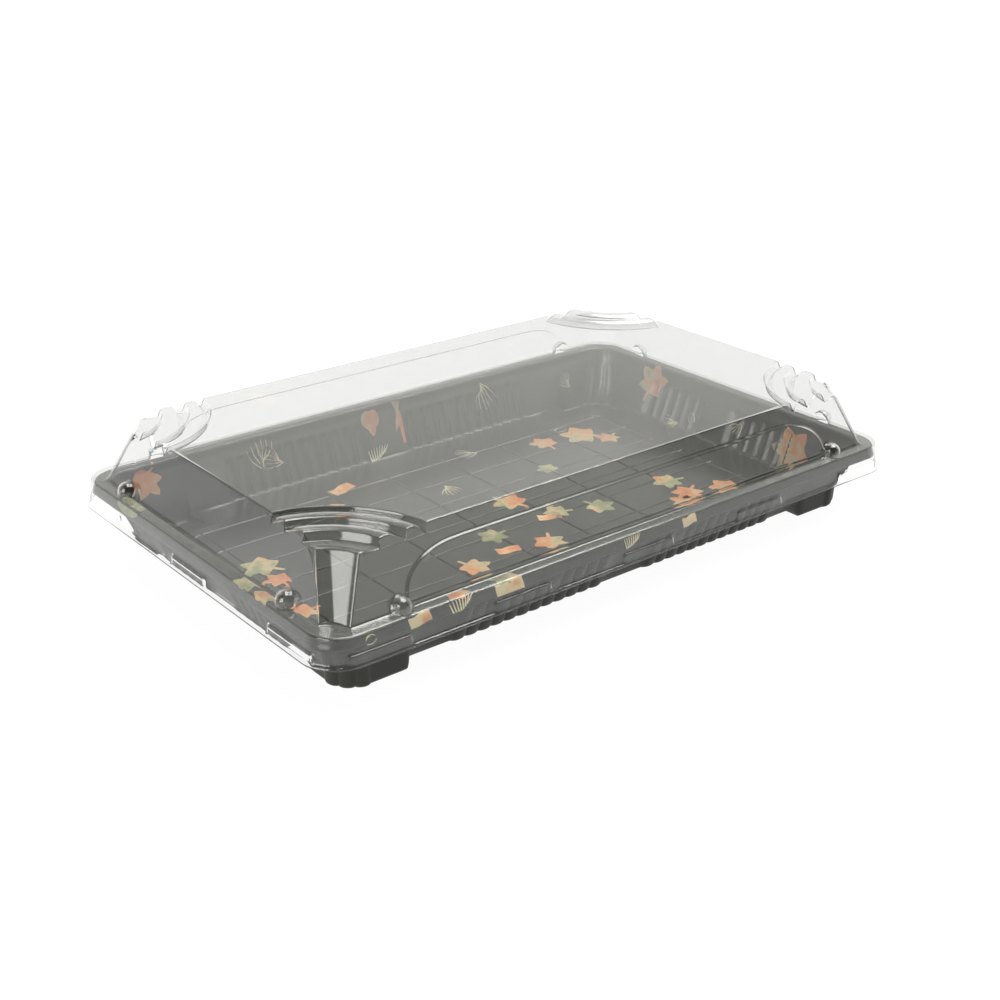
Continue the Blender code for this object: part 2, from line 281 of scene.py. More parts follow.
for inset, radius, z in ((0.0, 9.2, 17.6), (0.22, 9.1, 18.3), (0.45, 9.1, 19.0)):
    rim_row(inset, radius, z)
for t in arc(5):                # the outer edge's rounding, 0.9 mm high
    inset = 0.7 + 0.8 * (1 - math.cos(t))
    rim_row(inset, 9.0 - inset / 3, RIM_TOP - 0.9 + 0.9 * math.sin(t))
rim_row(2.6, 8.4, RIM_TOP)
for t in arc(5):                # and the inner one's, 1 mm
    rim_row(3.6 + math.sin(t), 8.2, RIM_TOP - 1 + math.cos(t))
print("rings in the rim:", len(rows))


# %% The wall, its flutes' reach and the feet
def wall_half(z):
    """The leaning wall's half sizes at a height, which are the floor's below it."""
    return np.array(WALL_TOP) - LEAN * (FLUTE_TOP - max(z, FLOOR))


def wall_row(z_plain, z_foot, plain_inset, foot_inset, flute):
    """One ring of the wall or floor edge, blended between plain columns and foot columns."""
    plain, _ = ring(tray_places, wall_half(z_plain) - plain_inset, WALL_RADIUS - plain_inset / 2)
    foot_half = np.maximum(wall_half(z_foot), FOOT) - foot_inset
    footed, out = ring(tray_places, foot_half, WALL_RADIUS - foot_inset / 2)
    rows.append((plain + (footed - plain) * feet[:, None], z_plain + (z_foot - z_plain) * feet,
                 flute * np.where(is_corner, CORNER_FLUTE_SHARE, 1.0 - feet), out))


for z in (18.4, 17.1, FLUTE_TOP, 15.6, 14.8, 13.8, 11.0, 8.2, 5.4):
    wall_row(z, z, 0.0, 0.0, ease((FLUTE_TOP - z) / FLUTE_FADE))
for t in arc(5):
    inset, up = FILLET * (1 - math.cos(t)), FILLET - FILLET * math.sin(t)
    wall_row(FLOOR + up, SHEET_TRAY + up, inset, inset, 1.0)
for inset, flute in ((2.4, 0.4), (3.6, 0.0)):
    wall_row(FLOOR, SHEET_TRAY, inset, inset, flute)
for inset, rise in ((8.6, 0.0), (9.0, 0.1), (9.6, 0.5), (10.2, 0.9), (10.6, 1.0)):
    wall_row(FLOOR, SHEET_TRAY + (FLOOR - SHEET_TRAY) * rise, inset - 1.0, inset, 0.0)
print("rings in the tray:", len(rows))

# %% [markdown]
# ## The tray's floor
#
# The floor is one flat field with a grid of shallow pressed lines, about one finger wide by two, so
# that the tray stays stiff.  Its mesh has its lines exactly where the grooves will be pressed.

# %% Floor field
CELL = (23.2, 13.9)
GROOVE = (0.5, 0.38)            # depth and half width
FIELD = (84.0, 45.5)


def floor_lines(reach, first, cell):
    """Half a side's mesh lines, packed close at each groove."""
    lines = [reach]
    for place in np.arange(first, reach - 2, cell):
        lines += [abs(place + step * GROOVE[1]) for step in (-1.6, -1.0, -0.5, 0.0, 0.5, 1.0, 1.6)]
        lines.append(place + cell / 2)
    return mirrored([v for v in lines if v <= reach])


def quads_between(a, b):
    """Four-sided faces between two rows of points."""
    return [(a[k], a[k + 1], b[k + 1], b[k]) for k in range(len(a) - 1)]


xs = floor_lines(FIELD[0], CELL[0] / 2, CELL[0])
ys = floor_lines(FIELD[1], 0.0, CELL[1])
grid = [(x, y) for y in ys for x in xs]
points, heights, flute, outward = [np.concatenate([r[k] for r in rows]) for k in range(4)]
rings = np.arange(len(points)).reshape(len(rows), -1).tolist()
net = (len(points) + np.arange(len(grid)).reshape(len(ys), len(xs))).tolist()
faces = [face for a, b in zip(rings, rings[1:]) for face in quads_between(a + a[:1], b + b[:1])]
faces += [face for a, b in zip(net, net[1:]) for face in quads_between(a, b)]
right_edge, left_edge = [line[-1] for line in net[1:]], [line[0] for line in net[-2:0:-1]]
edge_loop = net[0] + right_edge + net[-1][-2::-1] + left_edge
print("floor field:", len(xs), "by", len(ys), "lines")


# %% Join the wall's last ring to the floor
def bearing(p, half):
    """A point's direction from the middle, as if its ring were square."""
    return math.atan2(p[1] / half[1], p[0] / half[0])


def zip_rings(outer, inner, place_of):
    """Joins two closed rings with different counts by triangles, both running the same way."""
    spans = []
    for loop in (outer, inner):
        where = [place_of(v) for v in loop]
        half = (max(abs(p[0]) for p in where), max(abs(p[1]) for p in where))
        turn = [bearing(where[0], half)]
        for p in where[1:] + where[:1]:
            turn.append(turn[-1] + (bearing(p, half) - turn[-1]) % (2 * math.pi))
        spans.append(turn)
    shift = round((spans[0][0] - spans[1][0]) / (2 * math.pi)) * 2 * math.pi
    i = j = 0
    made = []
    while i < len(outer) or j < len(inner):
        a, b = outer[i % len(outer)], inner[j % len(inner)]
        ahead = spans[0][min(i + 1, len(outer))] <= spans[1][min(j + 1, len(inner))] + shift
        if j >= len(inner) or (i < len(outer) and ahead):
            made.append((a, outer[(i + 1) % len(outer)], b))
            i += 1
        else:
            made.append((a, inner[(j + 1) % len(inner)], b))
            j += 1
    return made


last = rings[-1]
plan = [tuple(p) for p in points] + grid
start = min(range(len(last)), key=lambda k: math.dist(plan[last[k]], plan[edge_loop[0]]))
faces += zip_rings(last[start:] + last[:start], edge_loop, lambda v: plan[v])
tray_points = [(x, y, z) for (x, y), z in zip(points, heights)] + [(x, y, FLOOR) for x, y in grid]
tray = piece_from("tray_shell", tray_points, faces)

along = np.concatenate([np.tile(runs, len(rows)), np.full(len(grid), -1.0)])
carried = np.concatenate([flute, np.zeros(len(grid))])
carried[along < 0] = 0.0
field = np.array([0.0] * len(points) + [float(abs(x) < FIELD[0] - 0.1 and abs(y) < FIELD[1] - 0.1)
                                        for x, y in grid])
ways = np.concatenate([outward, np.zeros((len(grid), 2))])
mark(tray, "run", along * MM)
mark(tray, "fluted", carried)
mark(tray, "field", field)
mark(tray, "outward", np.column_stack([ways, np.zeros(len(ways))]))
print("tray surface:", len(tray.data.polygons), "faces")

# %% [markdown]
# ## Flutes and grooves by rule
#
# Flutes stiffen a thin wall.  They repeat every few millimetres, so they're a rule rather than a
# drawing: a Geometry Nodes tree pushes each point out by a rounded wave of its place along the
# wall.  The same tree presses the floor's lines, from the distance to the nearest line of a grid.

# %% Geometry Nodes tree for the pressed forms
tree, given = new_tree("pressed forms", Pitch=FLUTE_PITCH * MM, Flute_Depth=1.0 * MM, Flat_Share=0.12,
                       Cell_Length=CELL[0] * MM, Cell_Width=CELL[1] * MM, Groove_Depth=GROOVE[0] * MM,
                       Groove_Reach=GROOVE[1] * MM)
run, strength, on_floor = (add(tree, "GeometryNodeInputNamedAttribute", [name], data_type="FLOAT")
                           for name in ("run", "fluted", "field"))
outwards = add(tree, "GeometryNodeInputNamedAttribute", ["outward"], data_type="FLOAT_VECTOR")
pitches = add(tree, "ShaderNodeMath", [run, given.outputs["Pitch"]], operation="DIVIDE")
phase = add(tree, "ShaderNodeMath", [pitches], operation="FRACT")
centred = add(tree, "ShaderNodeMath", [phase, 0.5], operation="SUBTRACT")
aside = add(tree, "ShaderNodeMath", [centred], operation="ABSOLUTE")
flat = add(tree, "ShaderNodeMath", [given.outputs["Flat Share"], 0.5], operation="MULTIPLY")
reach = add(tree, "ShaderNodeMath", [0.5, flat], operation="SUBTRACT")
share = add(tree, "ShaderNodeMath", [aside, reach], operation="DIVIDE")
ratio = add(tree, "ShaderNodeMath", [share, 1.0], operation="MINIMUM")
squared = add(tree, "ShaderNodeMath", [ratio, ratio], operation="MULTIPLY")
left = add(tree, "ShaderNodeMath", [1.0, squared], operation="SUBTRACT")
round_top = add(tree, "ShaderNodeMath", [left], operation="SQRT")
bulge = add(tree, "ShaderNodeMath", [round_top, strength], operation="MULTIPLY")
bulge = add(tree, "ShaderNodeMath", [bulge, given.outputs["Flute Depth"]], operation="MULTIPLY")
push = add(tree, "ShaderNodeVectorMath", {0: outwards, "Scale": bulge}, operation="SCALE")
fluted = add(tree, "GeometryNodeSetPosition", {"Geometry": given, "Offset": push})

# %% The same tree's grooves: from the distance to the nearest line across or along
where = add(tree, "ShaderNodeSeparateXYZ", [add(tree, "GeometryNodeInputPosition")])
half_length = add(tree, "ShaderNodeMath", [given.outputs["Cell Length"], 0.5], operation="MULTIPLY")
half_width = add(tree, "ShaderNodeMath", [given.outputs["Cell Width"], 0.5], operation="MULTIPLY")
moved = add(tree, "ShaderNodeMath", [where.outputs[0], half_length], operation="ADD")
distances = []
for place, half in ((moved, half_length), (where.outputs[1], half_width)):
    back = add(tree, "ShaderNodeMath", [half, -1.0], operation="MULTIPLY")
    wrapped = add(tree, "ShaderNodeMath", [place, half, back], operation="WRAP")
    distances.append(add(tree, "ShaderNodeMath", [wrapped], operation="ABSOLUTE"))
nearest = add(tree, "ShaderNodeMath", distances, operation="MINIMUM")
depth = add(tree, "ShaderNodeMapRange",
            {"Value": nearest, "From Min": 0.0, "From Max": given.outputs["Groove Reach"],
             "To Min": given.outputs["Groove Depth"], "To Max": 0.0}, interpolation_type="SMOOTHSTEP")
depth = add(tree, "ShaderNodeMath", [depth, on_floor], operation="MULTIPLY")
down = add(tree, "ShaderNodeMath", [depth, -1.0], operation="MULTIPLY")
drop = add(tree, "ShaderNodeCombineXYZ", {2: down})
grooved = add(tree, "GeometryNodeSetPosition", {"Geometry": fluted, "Offset": drop})
end_tree(tree, grooved, given)

# %% [markdown]
# ## Black polystyrene
#
# The tray is high-impact polystyrene, pigmented black and laminated with a clear film over the
# print.  To the eye it is nearly black in itself, and most of its grey is the room mirrored in the
# film, so the material is a dark base under a soft gloss, very slightly wavy from drawing.  The side
# away from the print has no film, and its material is a darker copy with painted shade.

# %% Tray materials
def new_material(name, finish):
    """A material of one Principled shader; the finish is its inputs, made once the tree is there."""
    mat = bpy.data.materials.new(name)
    mat.use_nodes = True
    tree = mat.node_tree
    tree.nodes.clear()
    shader = add(tree, "ShaderNodeBsdfPrincipled", finish(tree) if callable(finish) else finish)
    add(tree, "ShaderNodeOutputMaterial", [shader])
    print("material:", name)
    return mat


def heat_drawn(wave_mm, height_mm, **inputs):
    """The finish of a heat-drawn sheet: its inputs, and its soft waviness as a bump."""
    def finish(tree):
        place = add(tree, "ShaderNodeTexCoord").outputs["Object"]
        noise = add(tree, "ShaderNodeTexNoise", {
            "Vector": place, "Scale": 1000 / wave_mm, "Detail": 2.0, "Roughness": 0.5})
        waves = add(tree, "ShaderNodeBump", {
            "Height": noise, "Strength": 1.0, "Distance": height_mm * MM})
        return {**{name.replace("_", " "): value for name, value in inputs.items()}, "Normal": waves}
    return finish


# polystyrene, n 1.59, under a laminated film that mould and heat have dulled a little: it mirrors a
# few per cent face on and far more at a slant, with soft edges
black = new_material("black polystyrene, gloss film", heat_drawn(
    14.0, 0.012, Base_Color=linear("#30332a"), Roughness=0.22, Specular_IOR_Level=0.42, IOR=1.59))
# bare moulded polystyrene, evenly matt; its darker base colour and weaker reflection are painted shade,
# standing in for the shade under the tray near the floor
shaded_underside = new_material("black polystyrene, bare underside", {
    "Base Color": linear("#22231c"), "Roughness": 0.55, "IOR": 1.59, "Specular IOR Level": 0.3})

# %% Press the tray and give it its thickness
bake(tray, tree, Material=black)
print_bed = tray.data.copy()
print_bed.name = "print_bed"


def thicken(piece, sheet, underside=None):
    """Grows the sheet away from its upper face: a copy of it turned over, and a rim between."""
    shape = bmesh.new()
    shape.from_mesh(piece.data)
    bmesh.ops.recalc_face_normals(shape, faces=shape.faces)
    if max(shape.faces, key=lambda f: f.calc_area()).normal.z < 0:
        bmesh.ops.reverse_faces(shape, faces=shape.faces)
    shape.normal_update()
    upper = list(shape.faces)
    lip = [e.link_loops[0] for e in shape.edges if e.is_boundary]
    lip = [(loop.vert, loop.link_loop_next.vert) for loop in lip]
    back = {v: shape.verts.new(v.co - v.normal * sheet * MM) for v in list(shape.verts)}
    for face in upper:
        shape.faces.new([back[v] for v in reversed(face.verts)]).material_index = 1 if underside else 0
    for a, b in lip:
        shape.faces.new((b, a, back[a], back[b]))
    shape.to_mesh(piece.data)
    shape.free()
    if underside:
        piece.data.materials.append(underside)
    piece.data.shade_smooth()


# the underside gets the darker copy: painted shade for the shade near the floor
thicken(tray, SHEET_TRAY, shaded_underside)
low = min(v.co.z for v in tray.data.vertices)
print("tray:", len(tray.data.polygons), "faces, lowest point", round(low / MM, 3), "mm")


# %% [markdown]
# ## The print
#
# The sheet is printed while it is flat, with scattered maple leaves, folded papers, hatched fans and
# fine strokes, and drawn afterwards.  So each motif is a small flat shape, and a Geometry Nodes tree
# sets it down at its places, turned to face as the wall there does, and then wraps it on to the
# nearest point of the tray.  That bends it over flutes and edges just as drawing does.

# %% Flat shapes for the motifs
def flat_shape(name, outlines, step=0.7):
    """Outlines in millimetres, filled with points close enough to bend over the tray's edges."""
    points, faces = [], []
    for outline in outlines:
        xs, ys = zip(*outline)
        inner = [(x, y) for x in np.arange(min(xs), max(xs), step)
                 for y in np.arange(min(ys), max(ys), step)]
        found = delaunay_2d_cdt([Vector(p) for p in list(outline) + inner], [],
                                [list(range(len(outline)))], 1, 1e-4)
        faces += [[len(points) + k for k in face] for face in found[2]]
        points += [(p[0], p[1], 0.0) for p in found[0]]
    shape = piece_from(name, points, faces)
    reach = max(abs(p[0]) for p in points)
    mark(shape, "across", [p[0] / reach for p in points])
    return shape


def leaf_outline(radius, spread=58.0):
    """A maple leaf: five pointed lobes and a short stalk."""
    line = [(-0.1, -0.4), (-0.1, -0.85), (0.04, -0.87), (0.1, -0.4)]
    for k, reach in enumerate((0.78, 0.96, 1.0, 0.96, 0.78)):
        a = math.radians(90 - (2 - k) * spread)
        for turn, share in ((-0.5, 0.66), (-0.22, 0.84), (0.0, 1.0), (0.22, 0.84)):
            b = a + math.radians(spread * turn)
            line.append((reach * share * math.cos(b), reach * share * math.sin(b)))
    return [(x * radius, y * radius) for x, y in line]


def stroke_outline(start, end, bow, width):
    """A thin brush stroke from one point to another, bowed to one side and pointed at its end."""
    (x0, y0), (x1, y1) = start, end
    far = math.hypot(x1 - x0, y1 - y0)
    side = ((y0 - y1) / far, (x1 - x0) / far)
    left, right = [], []
    count = max(4, int(far / 0.8))
    for k in range(count + 1):
        t = k / count
        push = bow * 4 * t * (1 - t)
        half = width / 2 * (1 - 0.6 * t)
        x, y = x0 + (x1 - x0) * t, y0 + (y1 - y0) * t
        left.append((x + side[0] * (push + half), y + side[1] * (push + half)))
        right.append((x + side[0] * (push - half), y + side[1] * (push - half)))
    return right + left[::-1]


PAPER = [(-3.6, -1.5), (-1.3, -2.1), (1.4, -1.6), (3.3, -2.0),
         (3.9, 1.3), (1.5, 1.9), (-1.1, 1.3), (-3.1, 1.9)]
ROUND_FAN = [(2.9 * math.sin(t), 1.0 + 3.0 * math.cos(t)) for t in np.linspace(-2.6, 2.6, 22)]
ROUND_FAN += [(0.5, -3.6), (-0.3, -3.7)]
RIBBON = [(-1.6, 7.4), (1.9, 7.2), (1.0, 4.6), (1.7, 2.0), (1.4, -7.4), (0.3, -7.2),
          (-0.1, -1.0), (-1.7, -2.6), (-1.1, 0.6), (-0.2, 4.2)]
DISC = [(6.2 * math.cos(t), 6.2 * math.sin(t)) for t in np.linspace(0, 2 * math.pi, 33)[:-1]]
hatching = [stroke_outline((-3.0 + 0.62 * k, -1.5 + 0.03 * k * k),
                           (-3.4 + 0.9 * k, 1.9 - 0.02 * (k - 5) ** 2), 0.0, 0.5) for k in range(8)]
needles = [stroke_outline((0.1 * k, -5.0 + 0.5 * k), (-4.5 + 1.7 * k, 4.0 - abs(k - 3) * 0.9),
                          0.7 - 0.3 * k, 0.42) for k in range(6)]
scroll = [stroke_outline((-1.6, -0.9), (1.7, -0.7), -0.6, 0.3),
          stroke_outline((-0.9, 0.9), (1.6, 0.1), 0.5, 0.3),
          stroke_outline((-1.5, 0.2), (0.2, 0.6), 0.4, 0.3)]
shapes = {"leaves": [leaf_outline(6.8)], "papers": [PAPER], "hatched_fans": hatching,
          "needles": needles, "scrolls": scroll, "round_fan": [ROUND_FAN], "ribbon": [RIBBON],
          "disc": [DISC]}
shapes = {name: flat_shape(name, outlines) for name, outlines in shapes.items()}
print("motif faces:", {name: len(s.data.polygons) for name, s in shapes.items()})

# %% Where the motifs lie: place, side of the tray, turn in degrees, size, tone from olive to red
FACING = {"floor": (0.0, 0.0, 1.0), "back": (0.0, -0.94, 0.35), "right": (-0.94, 0.0, 0.35),
          "front": (0.0, -0.98, 0.2)}
PLACES = {
    "leaves": (((-88, 62, 16), "back", 150, 0.95, 0.66), ((8, 2, 3), "floor", 20, 1.05, 0.6),
               ((15, -13, 3), "floor", 70, 0.8, 0.25), ((-1, -27, 3), "floor", 150, 0.95, 0.55),
               ((-12, -14, 3), "floor", 100, 0.85, 0.15), ((-30, -26, 3), "floor", 200, 0.9, 0.5),
               ((-50, -64, 20.6), "floor", 10, 0.8, 0.2), ((59, -27, 3), "floor", 120, 0.95, 0.75),
               ((53, -32, 3), "floor", 30, 0.9, 0.7), ((60, -17, 3), "floor", 80, 0.95, 0.3),
               ((72, -32, 3), "floor", 60, 1.0, 0.6), ((99, -35, 9), "right", -60, 1.35, 0.5),
               ((100, 33, 14), "right", -100, 1.2, 0.6), ((49, 33, 3), "floor", 0, 0.9, 0.6),
               ((65, 31, 3), "floor", 50, 1.3, 0.5), ((71, 24, 3), "floor", 110, 0.8, 0.55),
               ((28, -17, 3), "floor", 200, 0.9, 0.2), ((-78, 11, 3), "floor", 40, 1.1, 0.3),
               ((-79, 1, 3), "floor", 10, 0.75, 0.85), ((-104, -26, 20.6), "floor", 30, 0.8, 0.25),
               ((-104, -35, 20.6), "floor", 70, 0.7, 0.5), ((-83, -19, 3), "floor", 90, 0.8, 0.65),
               ((-65, -63, 20.6), "floor", 180, 0.6, 0.7), ((35, 15, 3), "floor", 10, 0.7, 0.2)),
    "papers": (((-29, 44, 3), "floor", 20, 1.35, 0.6), ((10, -14, 3), "floor", -20, 1.1, 0.7),
               ((-15, -24, 3), "floor", -10, 1.1, 0.65), ((-50, -66.9, 19.3), "front", 12, 1.35, 0.3),
               ((-79, -66.8, 19.3), "front", 15, 1.0, 0.3), ((17, -66.7, 19.2), "front", 10, 0.8, 0.25)),
    "hatched_fans": (((-65, -66.9, 19.2), "front", 8, 1.25, 0.5), ((-5, -66.8, 19.1), "front", 0, 1.0, 0.5),
                     ((-4, 57, 5), "back", 0, 1.3, 0.3)),
    "needles": (((-48, 62, 15), "back", 0, 1.15, 0.5), ((-44, 61, 12), "back", 60, 0.8, 0.5),
                ((44, 61, 13), "back", 190, 1.1, 0.5), ((82, 60, 12), "back", 30, 0.7, 0.5),
                ((21, 43, 3), "floor", 70, 0.9, 0.5), ((-2, 21, 3), "floor", 170, 0.9, 0.5),
                ((96, 20, 4), "right", 20, 0.7, 0.5), ((99, -10, 10), "right", 60, 0.6, 0.5)),
    "scrolls": (((-94, -66.9, 19), "front", 10, 0.95, 0.5), ((62, 40, 3), "floor", 0, 1.4, 0.5),
                ((98, 11, 8), "right", 30, 1.2, 0.5)),
    "round_fan": (((-5, 61.7, 15), "back", 0, 1.25, 0.62),),
    "ribbon": (((6, 60, 13), "back", 0, 1.0, 0.6),),
    "disc": (((-106, 38, 20), "floor", 0, 1.0, 0.1),),
}
print("motifs:", {name: len(places) for name, places in PLACES.items()})

# %% Geometry Nodes tree that lays the motifs on the tray
tree, given = new_tree("printed motifs", ("Motif", "Bed"), Lift=0.07 * MM)
motif = add(tree, "GeometryNodeObjectInfo", {"Object": given.outputs["Motif"]})
bed = add(tree, "GeometryNodeObjectInfo", {"Object": given.outputs["Bed"]}).outputs["Geometry"]
wall_way = add(tree, "GeometryNodeInputNamedAttribute", ["facing"], data_type="FLOAT_VECTOR")
upright = add(tree, "FunctionNodeAlignRotationToVector", {"Vector": wall_way}, axis="Z")
turn, size = (add(tree, "GeometryNodeInputNamedAttribute", [name], data_type="FLOAT")
              for name in ("turn", "size"))
spin = add(tree, "FunctionNodeAxisAngleToRotation", {"Axis": (0.0, 0.0, 1.0), "Angle": turn})
turned = add(tree, "FunctionNodeRotateRotation", [upright, spin], rotation_space="LOCAL")
copies = add(tree, "GeometryNodeInstanceOnPoints", {
    "Points": given, "Instance": motif.outputs["Geometry"], "Rotation": turned, "Scale": size})
flat_copies = add(tree, "GeometryNodeRealizeInstances", [copies])
touch = add(tree, "GeometryNodeProximity", [bed], target_element="FACES")
normal = add(tree, "GeometryNodeInputNormal")
bed_normal = add(tree, "GeometryNodeSampleNearestSurface", {"Mesh": bed, "Value": normal},
                 data_type="FLOAT_VECTOR")
lift = add(tree, "ShaderNodeVectorMath", {0: bed_normal, "Scale": given.outputs["Lift"]},
           operation="SCALE")
wrapped = add(tree, "GeometryNodeSetPosition", {
    "Geometry": flat_copies, "Position": touch.outputs["Position"], "Offset": lift})
end_tree(tree, wrapped, given)

# %% Printing inks
def ink(name, spread, *stops):
    """A printed ink under the same gloss film: it runs through a few flat colours in each motif."""
    def finish(tree):
        across = add(tree, "ShaderNodeAttribute", attribute_name="across").outputs["Fac"]
        tone = add(tree, "ShaderNodeAttribute", attribute_name="tone").outputs["Fac"]
        spot = add(tree, "ShaderNodeTexCoord").outputs["Object"]
        noise = add(tree, "ShaderNodeTexNoise", {"Vector": spot, "Scale": 300.0, "Detail": 1.0})
        centred = add(tree, "ShaderNodeMath", [noise, 0.5], operation="SUBTRACT")
        sloped = add(tree, "ShaderNodeMath", [across, spread, tone], operation="MULTIPLY_ADD")
        mixed = add(tree, "ShaderNodeMath", [centred, 5 * spread, sloped], operation="MULTIPLY_ADD")
        ramp = add(tree, "ShaderNodeValToRGB", [mixed])
        ramp.color_ramp.interpolation = "B_SPLINE"
        for position, colour in stops[1:-1]:
            ramp.color_ramp.elements.new(position)
        for element, (position, colour) in zip(ramp.color_ramp.elements, stops):
            element.position = position
            element.color = linear(colour)
        return {"Base Color": ramp, "Roughness": 0.3, "IOR": 1.59}
    return new_material(name, finish)


leaf_ink = ink("leaf inks", 0.22, (0.0, "#848c5c"), (0.3, "#a9a672"), (0.44, "#d3c096"),
               (0.6, "#dc9a5c"), (1.0, "#d67c4c"))
paper_ink = ink("paper inks", 0.22, (0.0, "#efe2b4"), (0.38, "#f4deac"), (0.55, "#efae69"),
                (0.75, "#d98a5c"), (1.0, "#cf7a58"))
gold_ink = ink("pale gold ink", 0.1, (0.0, "#c2c79b"), (0.3, "#dcd8ac"), (0.5, "#f0e6bc"),
               (0.7, "#efdcaa"), (1.0, "#e8cb90"))
INKS = {"leaves": leaf_ink, "papers": paper_ink, "hatched_fans": gold_ink, "needles": gold_ink,
        "scrolls": gold_ink, "round_fan": leaf_ink, "ribbon": leaf_ink, "disc": leaf_ink}

# %% Print the motifs
bed_piece = bpy.data.objects.new("print_bed", print_bed)
bpy.context.collection.objects.link(bed_piece)
prints = []
for name, places in PLACES.items():
    piece = piece_from("print_" + name, [p[0] for p in places], [])
    mark(piece, "facing", [FACING[p[1]] for p in places])
    mark(piece, "turn", [math.radians(p[2]) for p in places])
    mark(piece, "size", [p[3] for p in places])
    mark(piece, "tone", [p[4] for p in places])
    bake(piece, tree, Motif=shapes[name], Bed=bed_piece, Material=INKS[name])
    prints.append(piece)
    print(piece.name, "faces:", len(piece.data.polygons))
for helper in [bed_piece, *shapes.values()]:
    bpy.data.objects.remove(helper)

# %% [markdown]
# ## The lid's surface
#
# The lid is clear PET, drawn over one mould.  Its flat top is cut off at each corner by rising and
# falling steps, like half a scallop shell, all round one centre just outside the corner; the last
# step is tall and runs down to the ledge as a hollow cone.  The ledge lies on the tray's rim and a
# skirt turns down over it.  Every ring is closed, so the mesh has no seam that light could show.

# %% Lid sizes
SHEET_LID = 0.25
TOP = lid_high.z / MM
PANEL = (97.0, 57.0)
WALL_FOOT = (102.8, 63.5)
WALL_FOOT_Z = 22.4
LEDGE = (107.0, 67.2)
LEDGE_Z = 21.5
SCOOP_TOP_Z = 37.8
SCOOP_TOP, SCOOP_FOOT = (7.2, 9.2), (5.4, 6.2)
SCOOP_DIP = 1.0
FAN_CENTRE = (104.8, 63.0)
FAN = ((39.0, 0.0), (35.85, 0.0), (35.4, -2.6), (34.9, -2.7), (34.3, -1.7), (33.6, -0.7), (32.7, -0.15),
       (31.5, 0.0), (30.4, -0.08), (29.5, -0.35), (29.05, -2.65), (28.1, -2.75), (27.1, -1.9), (26.2, -0.9),
       (25.2, -0.2), (23.9, 0.0), (22.6, -0.08), (21.55, -0.35), (21.05, -2.6), (19.5, -2.7), (15.0, -2.3))
EDGE = 0.4                    # rounding where the top meets the walls
LEDGE_RADIUS = 9.3
FINE = 0.02                   # step of the lines that get their corners blurred
FAN_BLUR, SCOOP_BLUR = 0.2, 0.3


def lid_wall(z):
    """Half sizes of the lid's leaning walls at a height."""
    share = (TOP - z) / (TOP - WALL_FOOT_Z)
    return tuple(p + (f - p) * share for p, f in zip(PANEL, WALL_FOOT))


def soften(width, *lines):
    """Rounds corners off the way a warm sheet does: each line is blurred along its run."""
    reach = int(3 * width / FINE)
    bell = np.exp(-0.5 * (np.arange(-reach, reach + 1) * FINE / width) ** 2)
    return [np.convolve(np.pad(v, reach, mode="edge"), bell / bell.sum(), mode="valid") for v in lines]


# %% The fan's cross-section, with more rows where it bends
radii = np.arange(14.0, 39.0, FINE)
knots = np.array(sorted(FAN))
height = soften(FAN_BLUR, np.interp(radii, knots[:, 0], knots[:, 1]))[0]
slope = np.arctan2(np.diff(height), np.diff(radii))
effort = np.hypot(np.diff(radii), np.diff(height)) / 1.3 + np.abs(np.gradient(slope)) / math.radians(15)
spent = np.concatenate([[0], np.cumsum(effort)])
span = np.interp((17.4, 37.2), radii, spent)
FAN_ROWS = int(span[1] - span[0])
fan_radii = np.interp(np.linspace(*span, FAN_ROWS), spent, radii)[::-1]
fan_heights = TOP + np.interp(fan_radii, radii, height)
print("fan rows:", FAN_ROWS, "valley depth", round(TOP - fan_heights.min(), 2), "mm")


# %% Arcs of the fan and of the hollow corner
NEAR_EDGE = (-1.2, -0.75, -0.45, -0.2, 0.0, 0.2, 0.45, 0.75, 1.2)
SCOOP_STEPS = 2 * len(NEAR_EDGE) + 8


def scoop_cut(z):
    """How far the hollow corner cuts into the long wall and into the short one at a height."""
    share = (SCOOP_TOP_Z - z) / (SCOOP_TOP_Z - WALL_FOOT_Z)
    return [a + (b - a) * share for a, b in zip(SCOOP_TOP, SCOOP_FOOT)]


def scoop_end(z):
    """Where the hollow corner's softened edge starts on the long wall and on the short one."""
    return [wall - cut + NEAR_EDGE[0] for wall, cut in zip(lid_wall(z), scoop_cut(z))]


def scoop_arc(z, inset=0.0):
    """The hollow corner at one height, from the long wall to the short one."""
    x_wall, y_wall = (w - inset for w in lid_wall(z))
    cut_x, cut_y = scoop_cut(z)
    t = np.linspace(0, 1, 80)
    dip = SCOOP_DIP * 4 * t * (1 - t) / math.hypot(cut_x, cut_y)
    x = np.concatenate([[x_wall - cut_x - 3], x_wall - cut_x * (1 - t) - cut_y * dip, [x_wall]])
    y = np.concatenate([[y_wall], y_wall - cut_y * t - cut_x * dip, [y_wall - cut_y - 3]])
    run = np.concatenate([[0], np.cumsum(np.hypot(np.diff(x), np.diff(y)))]) - 3
    fine = np.arange(-3, run[-1], FINE)
    x, y = soften(SCOOP_BLUR, np.interp(fine, run, x), np.interp(fine, run, y))
    long = run[-1] - 3
    between = np.linspace(NEAR_EDGE[-1], long - NEAR_EDGE[-1], 10)[1:-1]
    places = [*NEAR_EDGE, *between, *(long + d for d in NEAR_EDGE)]
    line = np.column_stack([np.interp(places, fine, v) for v in (x, y)] + [np.full(len(places), z)])
    line[0] = (x_wall - cut_x + NEAR_EDGE[0], y_wall, z)
    line[-1] = (x_wall, y_wall - cut_y + NEAR_EDGE[0], z)
    return line


